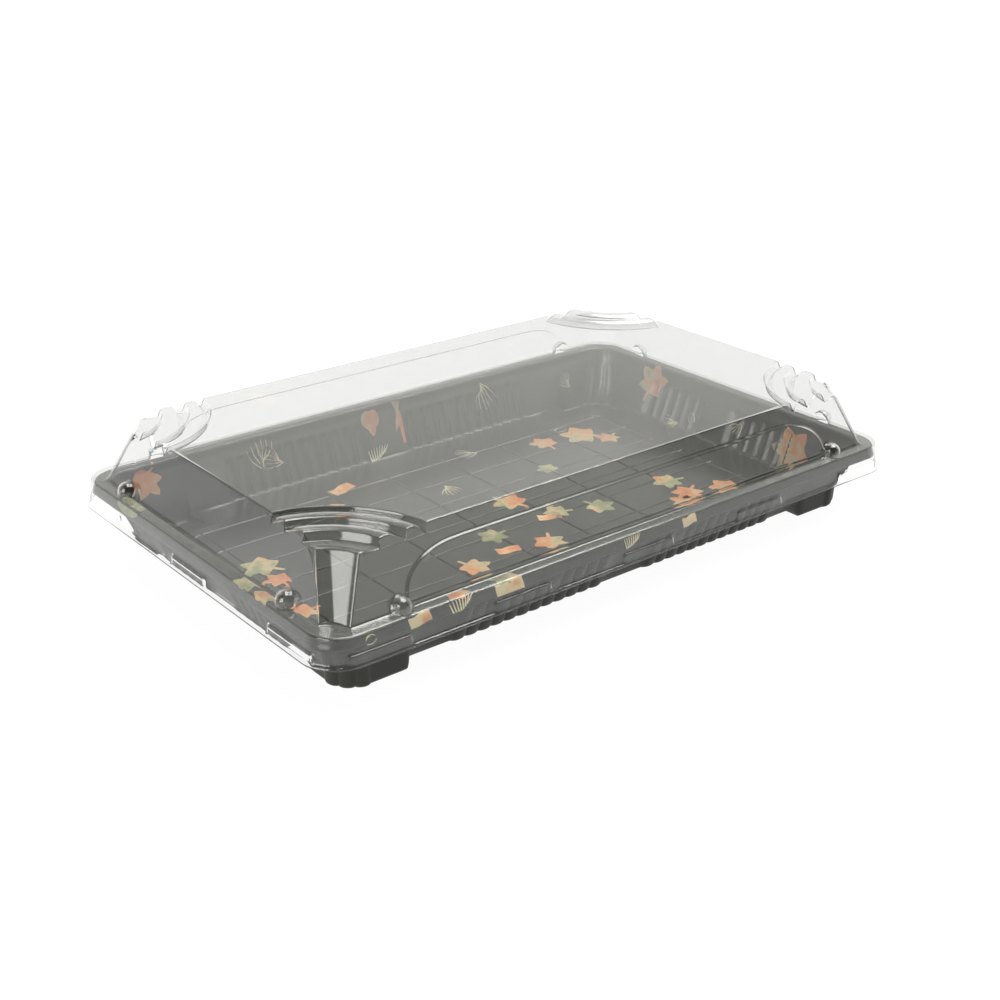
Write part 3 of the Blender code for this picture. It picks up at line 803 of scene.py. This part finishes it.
def fan_arc(radius, z, inset):
    """One arc of the fan in the +X +Y corner, ending `inset` short of each wall."""
    x_wall, y_wall = (w - inset for w in lid_wall(z))
    cx, cy = FAN_CENTRE
    first = math.asin((cy - y_wall) / radius)
    last = math.acos((cx - x_wall) / radius)
    t = np.linspace(first, last, SCOOP_STEPS)
    line = np.column_stack([cx - radius * np.cos(t), cy - radius * np.sin(t), np.full(t.shape, z)])
    line[0, 1], line[-1, 0] = y_wall, x_wall
    return line


top_arcs = [fan_arc(r, z, EDGE) for r, z in zip(fan_radii, fan_heights)]
last_arc, rim_arc = top_arcs[-1], scoop_arc(SCOOP_TOP_Z, EDGE)
for share in (0.3, 0.6, 0.85, 1.0):
    blend = last_arc + (rim_arc - last_arc) * share
    x_wall, y_wall = lid_wall(blend[0, 2])
    blend[0, 1], blend[-1, 0] = y_wall - EDGE, x_wall - EDGE
    top_arcs.append(blend)
print("arcs in a corner:", len(top_arcs), "points in an arc:", SCOOP_STEPS)


# %% A mesh that welds itself
class Weld:
    """Collects faces by place, so that shared edges share their points."""

    def __init__(self):
        self.points, self.faces, self.known = [], [], {}

    def point(self, p):
        key = (round(p[0], 3), round(p[1], 3), round(p[2], 3))
        if key not in self.known:
            self.known[key] = len(self.points)
            self.points.append(tuple(p))
        return self.known[key]

    def face(self, corners):
        ids = []
        for p in corners:
            k = self.point(p)
            if k not in ids:
                ids.append(k)
        if len(ids) > 2:
            self.faces.append(ids)

    def quads(self, table, closed=False):
        """Faces between neighbouring rows; closed rows are rings whose ends meet."""
        for a, b in zip(table, table[1:]):
            for k in range(len(a) - (not closed)):
                n = (k + 1) % len(a)
                self.face((a[k], a[n], b[n], b[k]))


lid_mesh = Weld()
corner_mesh = Weld()          # one quarter of the lid, in the +X +Y corner


def fill(border, lines, lift):
    """Fills a flat outline with triangles that keep every drawn line, and lifts them into place."""
    spots = list(border) + [p for line in lines for p in line]
    edges, start = [], len(border)
    for line in lines:
        edges += [(start + k, start + k + 1) for k in range(len(line) - 1)]
        start += len(line)
    found = delaunay_2d_cdt([Vector(p) for p in spots], edges, [list(range(len(border)))], 1, 1e-6)
    exact = [spots[old[0]] if old else tuple(new) for new, old in zip(found[0], found[3])]
    return [[lift(*exact[k]) for k in face] for face in found[2]]


# %% The walls' upper part, which follows the fan's ups and downs
BAND_Z = 35.9                 # below this the walls have a mesh of their own
PIVOT = (80.0, 36.0)


def slide(side, place, from_z, z, share=1.0):
    """Keeps a column of points straight while the hollow corner's edge leans outwards."""
    if place <= PIVOT[side]:
        return place
    ends = [scoop_end(h)[side] - PIVOT[side] for h in (from_z, z)]
    return place + (place - PIVOT[side]) * (ends[1] / ends[0] - 1) * share


def upper_rows(side):
    first = min(a[0][0] if side == 0 else a[-1][1] for a in top_arcs)
    columns = [(d, TOP) for d in np.arange(0.0, first - 2.0, 8.0)]
    columns += [(a[0][0], a[0][2]) if side == 0 else (a[-1][1], a[-1][2]) for a in top_arcs]
    rows = []
    for turn, share in [(t, None) for t in arc(5)] + [(None, s) for s in (0.2, 0.6, 1.0)]:
        row = []
        for place, top_z in columns:
            level = top_z - EDGE * (1 - math.cos(turn)) if share is None else \
                top_z - EDGE + (BAND_Z - top_z + EDGE) * share
            inset = EDGE * (1 - math.sin(turn)) if share is None else 0.0
            wall = lid_wall(level)[1 - side] - inset
            along = slide(side, place, SCOOP_TOP_Z, BAND_Z, (top_z - level) / (top_z - BAND_Z))
            if level < BAND_Z + 0.01 and row:
                along = max(along, row[-1][side] + 0.02)
            row.append((along, wall, level) if side == 0 else (wall, along, level))
        rows.append(row)
    return rows


def scoop_rows():
    rows = [scoop_arc(SCOOP_TOP_Z - EDGE * (1 - math.cos(t)), EDGE * (1 - math.sin(t))) for t in arc(5)]
    return rows + [scoop_arc(SCOOP_TOP_Z - EDGE + (BAND_Z - SCOOP_TOP_Z + EDGE) * s)
                   for s in (0.2, 0.6, 1.0)]


long_rows, short_rows, middle_rows = upper_rows(0), upper_rows(1), scoop_rows()
for a, b, c in zip(long_rows, short_rows, middle_rows):
    a[-1], b[-1] = tuple(c[0]), tuple(c[-1])
for table in (top_arcs, long_rows, short_rows, middle_rows):
    corner_mesh.quads(table)
print("columns on half a long wall:", len(long_rows[0]), "short:", len(short_rows[0]))

# %% The arched field of a long wall, drawn as lines side by side
ARCH = (60.0, 22.4, 20.3, 12.2)          # where it stops being straight, its foot, and its half sizes
ARCH_POWER, ARCH_DEPTH, ARCH_STEP = 2.3, 0.6, 0.85     # the step is its soft edge's width
ARCH_LINES = (-0.6, -0.43, -0.29, -0.15, 0.0, 0.15, 0.29, 0.43, 0.6)
FOOT_ZONE_Z = 26.0


def arch_x(z, off):
    """How far out the arch's line is at a height; `off` counts inwards from the step's middle."""
    up = min(1.0, max(0.0, (z - ARCH[1]) / (ARCH[3] - off)))
    return ARCH[0] + (ARCH[2] - off) * (1 - up ** ARCH_POWER) ** (1 / ARCH_POWER)


def arch_line(off):
    """One of the lines along the arch's soft edge, from the wall's middle to the foot zone."""
    line = [(x, ARCH[1] + ARCH[3] - off) for x in (0.0, 20.0, 40.0, 52.0, ARCH[0])]
    floor_z = (FOOT_ZONE_Z - ARCH[1]) / (ARCH[3] - off)
    for t in np.linspace(0, 1, 40)[1:]:
        up = (1 - t ** 1.3) + floor_z * t ** 1.3
        z = ARCH[1] + (ARCH[3] - off) * up
        line.append((arch_x(z, off), z))
    line[-1] = (arch_x(FOOT_ZONE_Z, off), FOOT_ZONE_Z)
    return line


def arch_amount(x, z):
    """Share of the field's depth: nothing outside the arch, all of it inside."""
    up = max(0.0, (z - ARCH[1]) / ARCH[3])
    across = max(0.0, (x - ARCH[0]) / ARCH[2])
    reach = (across ** ARCH_POWER + up ** ARCH_POWER) ** (1 / ARCH_POWER)
    radius = ARCH[3] if across < 1e-6 else math.hypot(up * ARCH[3], across * ARCH[2]) / reach
    spare = (1 - reach) * radius
    return ease(spare / ARCH_STEP + 0.5)


def long_wall(x, z):
    out = ARCH_DEPTH * arch_amount(x, z) * ease((z - WALL_FOOT_Z) / 1.2)
    return (x, lid_wall(z)[1] + out, z)


def short_wall(y, z):
    return (lid_wall(z)[0], y, z)


# %% The walls' middle part
BUTTON_AT = (82.6, 43.2)
near_button = np.arange(-3.9, 4.0, 0.45)
arch_foot = [arch_x(FOOT_ZONE_Z, off) for off in reversed(ARCH_LINES)]
long_foot = [0.0, 20.0, 40.0, 56.0, 66.0, 72.0, 75.0, 77.0, 78.2] + arch_foot
long_foot += [v for v in BUTTON_AT[0] + near_button if v > arch_foot[-1] + 0.6] + [88.0, 91.0]
short_foot = [0.0, 10.0, 20.0, 28.0, 34.0, 37.0] + list(BUTTON_AT[1] + near_button)
short_foot = [v for v in short_foot if v < scoop_end(FOOT_ZONE_Z)[1] - 0.8]
side_levels = (33.0, 29.5)
print("columns at the foot:", len(long_foot), len(short_foot))
lines = [arch_line(off) for off in ARCH_LINES]
for side, foot, lift, kept in ((0, long_foot, long_wall, lines), (1, short_foot, short_wall, [])):
    top = [(p[side], BAND_Z) for p in (long_rows, short_rows)[side][-1]]
    edge = [(scoop_end(z)[side], z) for z in side_levels[::-1]]
    border = [(v, FOOT_ZONE_Z) for v in foot] + [(scoop_end(FOOT_ZONE_Z)[side], FOOT_ZONE_Z)]
    border += edge + top[::-1]
    border += [(0.0, z) for z in sorted((line[0][1] for line in kept), reverse=True)]
    for face in fill(border, kept, lift):
        corner_mesh.face(face)
middle = [scoop_arc(z) for z in (BAND_Z,) + side_levels + (FOOT_ZONE_Z,)]
corner_mesh.quads(middle)
print("faces in a quarter so far:", len(corner_mesh.faces))

# %% The foot of the walls and the ledge
foot_levels = [FOOT_ZONE_Z, 25.5, 25.0, 24.55, 24.1, 23.65, 23.2, 22.8, WALL_FOOT_Z]
LEDGE_STEPS = ((0.04, 0.55), (0.1, 0.3), (0.18, 0.16), (0.27, 0.08), (0.36, 0.04), (0.46, 0.01),
               (0.56, 0.0))         # share of the way out, height above the ledge
table = []
for z in foot_levels:
    ends = scoop_end(z)
    row = []
    for v in long_foot:
        if v in arch_foot:
            row.append(long_wall(arch_x(z, ARCH_LINES[::-1][arch_foot.index(v)]), z))
        else:
            row.append(long_wall(slide(0, v, FOOT_ZONE_Z, z) if v > BUTTON_AT[0] + 4 else v, z))
    row += [tuple(p) for p in scoop_arc(z)]
    row += [short_wall(v, z) for v in reversed(short_foot)]
    table.append(row)


def rounded(p, half, radius):
    """Straight out from a point near the wall's foot, on the rounded rectangle of these half sizes."""
    inner = scoop_end(WALL_FOOT_Z)
    corner = (half[0] - radius, half[1] - radius)
    if p[0] > inner[0] - 1e-6 and p[1] > inner[1] - 1e-6:
        t = math.atan2(p[0] - inner[0], p[1] - inner[1])
        return (corner[0] + radius * math.sin(t), corner[1] + radius * math.cos(t))
    side = 0 if p[1] > inner[1] else 1
    place = p[side]
    start = inner[side] - 6.0
    if place > start:
        place = start + (place - start) * (corner[side] - start) / 6.0
    return (place, half[1]) if side == 0 else (half[0], place)


foot_row = table[-1]
outer_row = [rounded(p, LEDGE, LEDGE_RADIUS) for p in foot_row]
for share, rise in LEDGE_STEPS:
    table.append([(p[0] + (q[0] - p[0]) * share, p[1] + (q[1] - p[1]) * share, LEDGE_Z + rise)
                  for p, q in zip(foot_row, outer_row)])
corner_mesh.quads(table)
print("ledge rows:", len(table), "points in each quarter ring:", len(foot_row))

# %% Turn one quarter into the whole lid
for sx, sy in ((1, 1), (-1, 1), (-1, -1), (1, -1)):
    turned = [(x * sx, y * sy, z) for x, y, z in corner_mesh.points]
    for face in corner_mesh.faces:
        lid_mesh.face([turned[k] for k in face])


def whole_ring(quarter):
    """A quarter ring, from the long side's middle to the short side's, mirrored into a closed one."""
    half = [tuple(p) for p in quarter] + [(x, -y, z) for x, y, z in reversed(quarter)][1:]
    return half + [(-x, y, z) for x, y, z in reversed(half)][1:-1]


long_top = [p for p in long_rows[0] if p[0] <= top_arcs[0][0][0] + 1e-6]
short_top = [p for p in short_rows[0] if p[1] <= top_arcs[0][-1][1] + 1e-6]
panel_ring = whole_ring(long_top + [tuple(p) for p in top_arcs[0][1:-1]] + short_top[::-1])
print("points round the flat top:", len(panel_ring))


# %% The flat top, with two narrow strips at its edge that keep it looking flat
def inwards(ring, by):
    """Moves a closed ring's points square to the ring, towards its inside."""
    flat = np.array([p[:2] for p in ring])
    way = np.roll(flat, -1, axis=0) - np.roll(flat, 1, axis=0)
    way /= np.linalg.norm(way, axis=1)[:, None]
    side = np.column_stack([way[:, 1], -way[:, 0]])
    moved = flat + side * by
    return [(x, y, ring[0][2]) for x, y in moved]


strips = [panel_ring, inwards(panel_ring, 0.25), inwards(panel_ring, 0.9)]
lid_mesh.quads(strips, closed=True)
for face in fill([p[:2] for p in strips[-1]], [], lambda x, y: (x, y, TOP)):
    lid_mesh.face(face)

# %% The skirt, with its own stations
SHOULDER = ((-1.3, 0.0), (-0.75, 0.0), (-0.42, -0.06), (-0.2, -0.2), (-0.06, -0.42), (0.02, -0.75),
            (0.1, -1.4), (0.22, -2.6), (0.34, -3.8))
LIP = ((1.45, -7.74), (1.56, -8.05), (1.6, -8.38))
SKIRT = SHOULDER + ((0.42, -4.6), (0.5, -5.3), (0.58, -6.1), (0.66, -6.8), (0.72, -7.1), (0.88, -7.38),
                    (1.2, -7.56)) + LIP
LUG = SHOULDER + ((0.4, -4.4), (0.5, -4.68), (0.8, -4.86), (1.02, -5.04), (1.06, -5.8), (1.1, -6.9),
                  (1.22, -7.5)) + LIP
SKIRT_REACH = (97.7, 57.9)
LONG_LUGS = ((-8.6, 8.6), (37.4, 54.6), (83.4, 100.6))
SHORT_LUGS = ((-8.3, 8.3), (42.0, 60.5))


def skirt_side(lugs, button, reach):
    """A side's columns: close at the lugs' ends and by the button, wider apart elsewhere."""
    fine = list(button + near_button)
    for end in {abs(e) for lug in lugs for e in lug if abs(e) < reach - 1}:
        fine += [end + d for d in (-1.7, -1.3, -1.0, -0.6, 0.0, 0.6, 1.0, 1.3, 1.7)
                 if abs(end + d - button) > 4.0]
    places = [v for v in np.arange(0.0, reach, 4.5) if all(abs(v - f) > 1.2 for f in fine)]
    return mirrored([v for v in places + fine if v < reach - 0.3] + [reach])


skirt_places = stations(*(skirt_side(*side) for side in zip((LONG_LUGS, SHORT_LUGS), BUTTON_AT,
                                                            SKIRT_REACH)), CORNER_STEPS)
skirt_rings, lug_shift = [], []
for (out, down), (lug_out, lug_down) in zip(SKIRT, LUG):
    flat, ways = ring(skirt_places, (LEDGE[0] + out, LEDGE[1] + out), LEDGE_RADIUS + out)
    skirt_rings.append([(x, y, LEDGE_Z + down) for x, y in flat])
    lug_shift += [(w[0] * (lug_out - out), w[1] * (lug_out - out), lug_down - down) for w in ways]
lid_mesh.quads(skirt_rings, closed=True)
ledge_ring = whole_ring(table[-1])[::-1]
start = min(range(len(ledge_ring)), key=lambda k: math.dist(ledge_ring[k], skirt_rings[0][0]))
ledge_ring = ledge_ring[start:] + ledge_ring[:start]
both = ledge_ring + skirt_rings[0]
for face in zip_rings(list(range(len(ledge_ring))), list(range(len(ledge_ring), len(both))),
                      lambda k: both[k]):
    lid_mesh.face([both[k] for k in face])

# %% Make the lid's open surface
lid = piece_from("lid_shell", lid_mesh.points, lid_mesh.faces)
shape = bmesh.new()
shape.from_mesh(lid.data)
bmesh.ops.recalc_face_normals(shape, faces=shape.faces)
if max(shape.faces, key=lambda f: f.calc_center_median().z).normal.z < 0:
    bmesh.ops.reverse_faces(shape, faces=shape.faces)
open_edges = sum(e.is_boundary for e in shape.edges)
many = sum(len(e.link_faces) > 2 for e in shape.edges)
shape.to_mesh(lid.data)
shape.free()
print("lid surface:", len(lid.data.polygons), "faces; open edges:", open_edges, "of", len(skirt_places),
      "at the lip; crowded edges:", many)

# %% [markdown]
# ## Buttons and lugs on the lid
#
# Eight round buttons stand where the walls meet the ledge, and raised lugs sit along the skirt:
# they stiffen it and snap under the rim.  Both repeat, so a tree makes them.  Lugs are a second
# profile of the skirt, stored on its points, and the tree blends to it near each drawn line.
# Buttons lift the sheet on to a ball, along the slant between wall and ledge.

# %% The drawing: points for buttons, lines for lugs
BUTTON_RADIUS = 3.05
BUTTON_REACH = 5.0            # beyond this from its middle a button has no effect
LUGS_AT = (68.0, 107.8)       # how far from the middle the drawn lines of the lugs lie
button_points = piece_from("button_points", [(x * sx, y * sy, 22.7) for x, y in (
    (BUTTON_AT[0], 63.9), (103.2, BUTTON_AT[1])) for sx in (-1, 1) for sy in (-1, 1)], [])
mark(button_points, "slant", [(x * sx, y * sy, 0.66) for x, y in ((0.0, 0.75), (0.75, 0.0))
                              for sx in (-1, 1) for sy in (-1, 1)])
lug_ends = []
for lugs, level, turned in ((LONG_LUGS, LUGS_AT[0], False), (SHORT_LUGS, LUGS_AT[1], True)):
    for lug in lugs + tuple((-b, -a) for a, b in lugs[1:]):
        for side in (-level, level):
            lug_ends += [(side, v, 0.0) if turned else (v, side, 0.0) for v in lug]
lug_lines = piece_from("lug_lines", lug_ends, [], [(k, k + 1) for k in range(0, len(lug_ends), 2)])
shift = np.zeros((len(lid.data.vertices), 3))
for p, move in zip([p for r in skirt_rings for p in r], lug_shift):
    shift[lid_mesh.known[tuple(round(c, 3) for c in p)]] = move
mark(lid, "lug_shift", shift * MM)
print("buttons:", len(button_points.data.vertices), "lugs:", len(lug_ends) // 2)

# %% Geometry Nodes tree that raises the lugs and the buttons
tree, given = new_tree("raised forms", ("Lugs", "Buttons"), Button_Radius=BUTTON_RADIUS * MM,
                       Button_Fillet=0.7 * MM, Lug_Full=0.7 * MM, Lug_End=1.6 * MM)
here = add(tree, "GeometryNodeInputPosition")
lug_shape = add(tree, "GeometryNodeObjectInfo", {"Object": given.outputs["Lugs"]})
plan = add(tree, "ShaderNodeVectorMath", [here, (1.0, 1.0, 0.0)], operation="MULTIPLY")
to_lug = add(tree, "GeometryNodeProximity", {
    "Geometry": lug_shape.outputs["Geometry"], "Sample Position": plan}, target_element="EDGES")
amount = add(tree, "ShaderNodeMapRange", {
    "Value": to_lug.outputs["Distance"], "From Min": given.outputs["Lug Full"],
    "From Max": given.outputs["Lug End"], "To Min": 1.0, "To Max": 0.0},
    interpolation_type="SMOOTHSTEP")
shifts = add(tree, "GeometryNodeInputNamedAttribute", ["lug_shift"], data_type="FLOAT_VECTOR")
push = add(tree, "ShaderNodeVectorMath", {0: shifts, "Scale": amount}, operation="SCALE")
lugged = add(tree, "GeometryNodeSetPosition", {"Geometry": given, "Offset": push})

# %% The same tree's buttons: how far a point is from the nearest button, along its slant and aside
drawn_buttons = add(tree, "GeometryNodeObjectInfo", {"Object": given.outputs["Buttons"]})
drawn_buttons = drawn_buttons.outputs["Geometry"]
nearest = add(tree, "GeometryNodeSampleNearest", {"Geometry": drawn_buttons})
slants = add(tree, "GeometryNodeInputNamedAttribute", ["slant"], data_type="FLOAT_VECTOR")
centre, slant = (add(tree, "GeometryNodeSampleIndex", {
    "Geometry": drawn_buttons, "Index": nearest, "Value": value}, data_type="FLOAT_VECTOR")
    for value in (here, slants))
arm = add(tree, "ShaderNodeVectorMath", [here, centre], operation="SUBTRACT")
along = add(tree, "ShaderNodeVectorMath", [arm, slant], operation="DOT_PRODUCT").outputs["Value"]
length = add(tree, "ShaderNodeVectorMath", [arm], operation="LENGTH").outputs["Value"]
radius = given.outputs["Button Radius"]
rests = []
for long_side, short_side in ((length, along), (radius, None)):
    # the other leg of a right-angled triangle: the second one stands on the first one's result
    squares = [add(tree, "ShaderNodeMath", [v, v], operation="MULTIPLY")
               for v in (long_side, short_side or rests[0])]
    rest = add(tree, "ShaderNodeMath", squares, operation="SUBTRACT")
    rest = add(tree, "ShaderNodeMath", [0.0, rest], operation="MAXIMUM")
    rests.append(add(tree, "ShaderNodeMath", [rest], operation="SQRT"))
aside, ball = rests
fillet = add(tree, "ShaderNodeMath", [radius, given.outputs["Button Fillet"]], operation="SUBTRACT")
inside = add(tree, "ShaderNodeMapRange", {
    "Value": aside, "From Min": fillet, "From Max": radius, "To Min": 1.0, "To Max": 0.0},
    interpolation_type="SMOOTHSTEP")
rise = add(tree, "ShaderNodeMath", [ball, along], operation="SUBTRACT")
rise = add(tree, "ShaderNodeMath", [0.0, rise], operation="MAXIMUM")
rise = add(tree, "ShaderNodeMath", [rise, inside], operation="MULTIPLY")
raised = add(tree, "ShaderNodeVectorMath", {0: slant, "Scale": rise}, operation="SCALE")
near = add(tree, "FunctionNodeCompare", [length, BUTTON_REACH * MM], operation="LESS_THAN")
domed = add(tree, "GeometryNodeSetPosition", {"Geometry": lugged, "Offset": raised, "Selection": near})
end_tree(tree, domed, given)

# %% [markdown]
# ## Clear PET
#
# The lid is PET drawn clear.  It has no colour of its own face on; what shows it is the mirror of
# the room at a slant and the bright and dark lines where the sheet bends.  A true refracting shell
# gives both, so the sheet keeps its real thickness.  Its index is a little under PET's own 1.57:
# that keeps the pale floor from shining too strongly in the side walls.

# %% Lid material
# drawn film is as smooth as glass; the faint waviness is the mould's, and its slight grey is PET's
clear = new_material("clear PET", heat_drawn(
    22.0, 0.012, Base_Color=linear("#f7f7f7"), Roughness=0.015, IOR=1.47, Transmission_Weight=1.0))

bake(lid, tree, Lugs=lug_lines, Buttons=button_points, Material=clear)
bpy.data.objects.remove(lug_lines)
bpy.data.objects.remove(button_points)
thicken(lid, SHEET_LID)
print("lid:", len(lid.data.polygons), "faces")

# %% [markdown]
# ## The room
#
# A pale card floor in a soft room.  The wall behind is nearly white and the front of the room is
# dim.  A round lamp hangs overhead, and the long edges mirror it.  A tall window stands on the left,
# which the near corner's column mirrors, and a low, wide glow lies at the front right.

# %% Floor
FLOOR_REACH = 3000
floor_mesh = piece_from("floor", [(x * FLOOR_REACH, y * FLOOR_REACH, 0) for x, y in (
    (-1, -1), (1, -1), (1, 1), (-1, 1))], [(0, 1, 2, 3)])
# matt card with a glow of its own, so that it stays evenly white whatever the lamps do
floor_mesh.data.materials.append(new_material("pale card", {
    "Base Color": linear("#4a4a4a"), "Roughness": 0.9, "Specular IOR Level": 0.1,
    "Emission Color": linear("#ffffff"), "Emission Strength": 0.96}))
floor_mesh.location.z = -0.2 * MM

# %% Room light
room = bpy.data.worlds.new("soft room")
bpy.context.scene.world = room
room.use_nodes = True
sky = room.node_tree
sky.nodes.clear()
way = add(sky, "ShaderNodeTexCoord").outputs["Generated"]
parts = add(sky, "ShaderNodeSeparateXYZ", [way])
level_way = add(sky, "ShaderNodeCombineXYZ", [parts.outputs[0], parts.outputs[1]])
level_way = add(sky, "ShaderNodeVectorMath", [level_way], operation="NORMALIZE")
elevation = add(sky, "ShaderNodeMath", [parts.outputs[2]], operation="ARCSINE")


def lit(strength, *steps):
    """A strength times a few soft steps, each of them from dark at one value to full at another."""
    for value, dark, full in steps:
        step = add(sky, "ShaderNodeMapRange", {"Value": value, "From Min": dark, "From Max": full},
                   interpolation_type="SMOOTHSTEP")
        strength = add(sky, "ShaderNodeMath", [step, strength], operation="MULTIPLY")
    return strength


def window(turn, half_width, low, high, strength, soft=3.0):
    """A soft-edged window of light: its direction from -Y towards -X and its heights, in degrees."""
    turn, half_width, low, high, soft = (math.radians(a) for a in (turn, half_width, low, high, soft))
    middle = (-math.sin(turn), -math.cos(turn), 0.0)
    toward = add(sky, "ShaderNodeVectorMath", [level_way, middle], operation="DOT_PRODUCT")
    return lit(strength, (toward.outputs["Value"], math.cos(half_width + soft), math.cos(half_width - soft)),
               (elevation, low - soft, low + soft), (elevation, high + soft, high - soft))


toward_back = add(sky, "ShaderNodeVectorMath", [level_way, (0.636, 0.772, 0.0)],
                  operation="DOT_PRODUCT")
back_share = add(sky, "ShaderNodeMapRange", {
    "Value": toward_back.outputs["Value"], "From Min": -0.1, "From Max": 0.45},
    interpolation_type="SMOOTHSTEP")
dim_front = add(sky, "ShaderNodeMapRange", {
    "Value": elevation, "From Min": 0.1, "From Max": 0.6, "To Min": 0.3, "To Max": 0.16},
    interpolation_type="SMOOTHSTEP")
light = add(sky, "ShaderNodeMix", {0: back_share, 2: dim_front, 3: 0.94})
toward_lamp = add(sky, "ShaderNodeVectorMath", [way, (0.33, 0.0, 0.944)], operation="DOT_PRODUCT")
LAMP_FROM, LAMP_FULL = (math.cos(math.radians(a)) for a in (25, 20))     # its soft edge
lamp = lit(7.0, (toward_lamp.outputs["Value"], LAMP_FROM, LAMP_FULL))
for part in (lamp, window(79, 19, 5, 40, 5.5), window(-42, 34, -12, 16, 0.75, soft=6.0)):
    light = add(sky, "ShaderNodeMath", [light, part], operation="ADD")
light = add(sky, "ShaderNodeBackground", {"Color": linear("#fffffa"), "Strength": light})
add(sky, "ShaderNodeOutputWorld", {"Surface": light})

# %% Camera
EYE = (-0.2754, -0.3362, 0.2007)
pitch, yaw, roll = 0.41986, 0.68907, 0.00934
forward = Vector((math.sin(yaw) * math.cos(pitch), math.cos(yaw) * math.cos(pitch), -math.sin(pitch)))
right = Vector((math.cos(yaw), -math.sin(yaw), 0.0))
up = right.cross(forward)
right, up = right * math.cos(roll) + up * math.sin(roll), up * math.cos(roll) - right * math.sin(roll)
camera = bpy.data.objects.new("camera", bpy.data.cameras.new("camera"))
bpy.context.collection.objects.link(camera)
camera.matrix_world = Matrix.Translation(EYE) @ Matrix((right, up, -forward)).transposed().to_4x4()
camera.data.sensor_width = 36.0
camera.data.lens = 54.41
camera.data.clip_start = 0.01
bpy.context.scene.camera = camera
bpy.context.scene.view_settings.view_transform = "Standard"

# %% Hand the pieces to the frame
for piece, node in [(tray, "tray"), (lid, "lid")] + [(piece, "tray") for piece in prints]:
    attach(piece, "root")
    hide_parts(node)
    print(piece.name, "triangles:", sum(len(f.vertices) - 2 for f in piece.data.polygons))
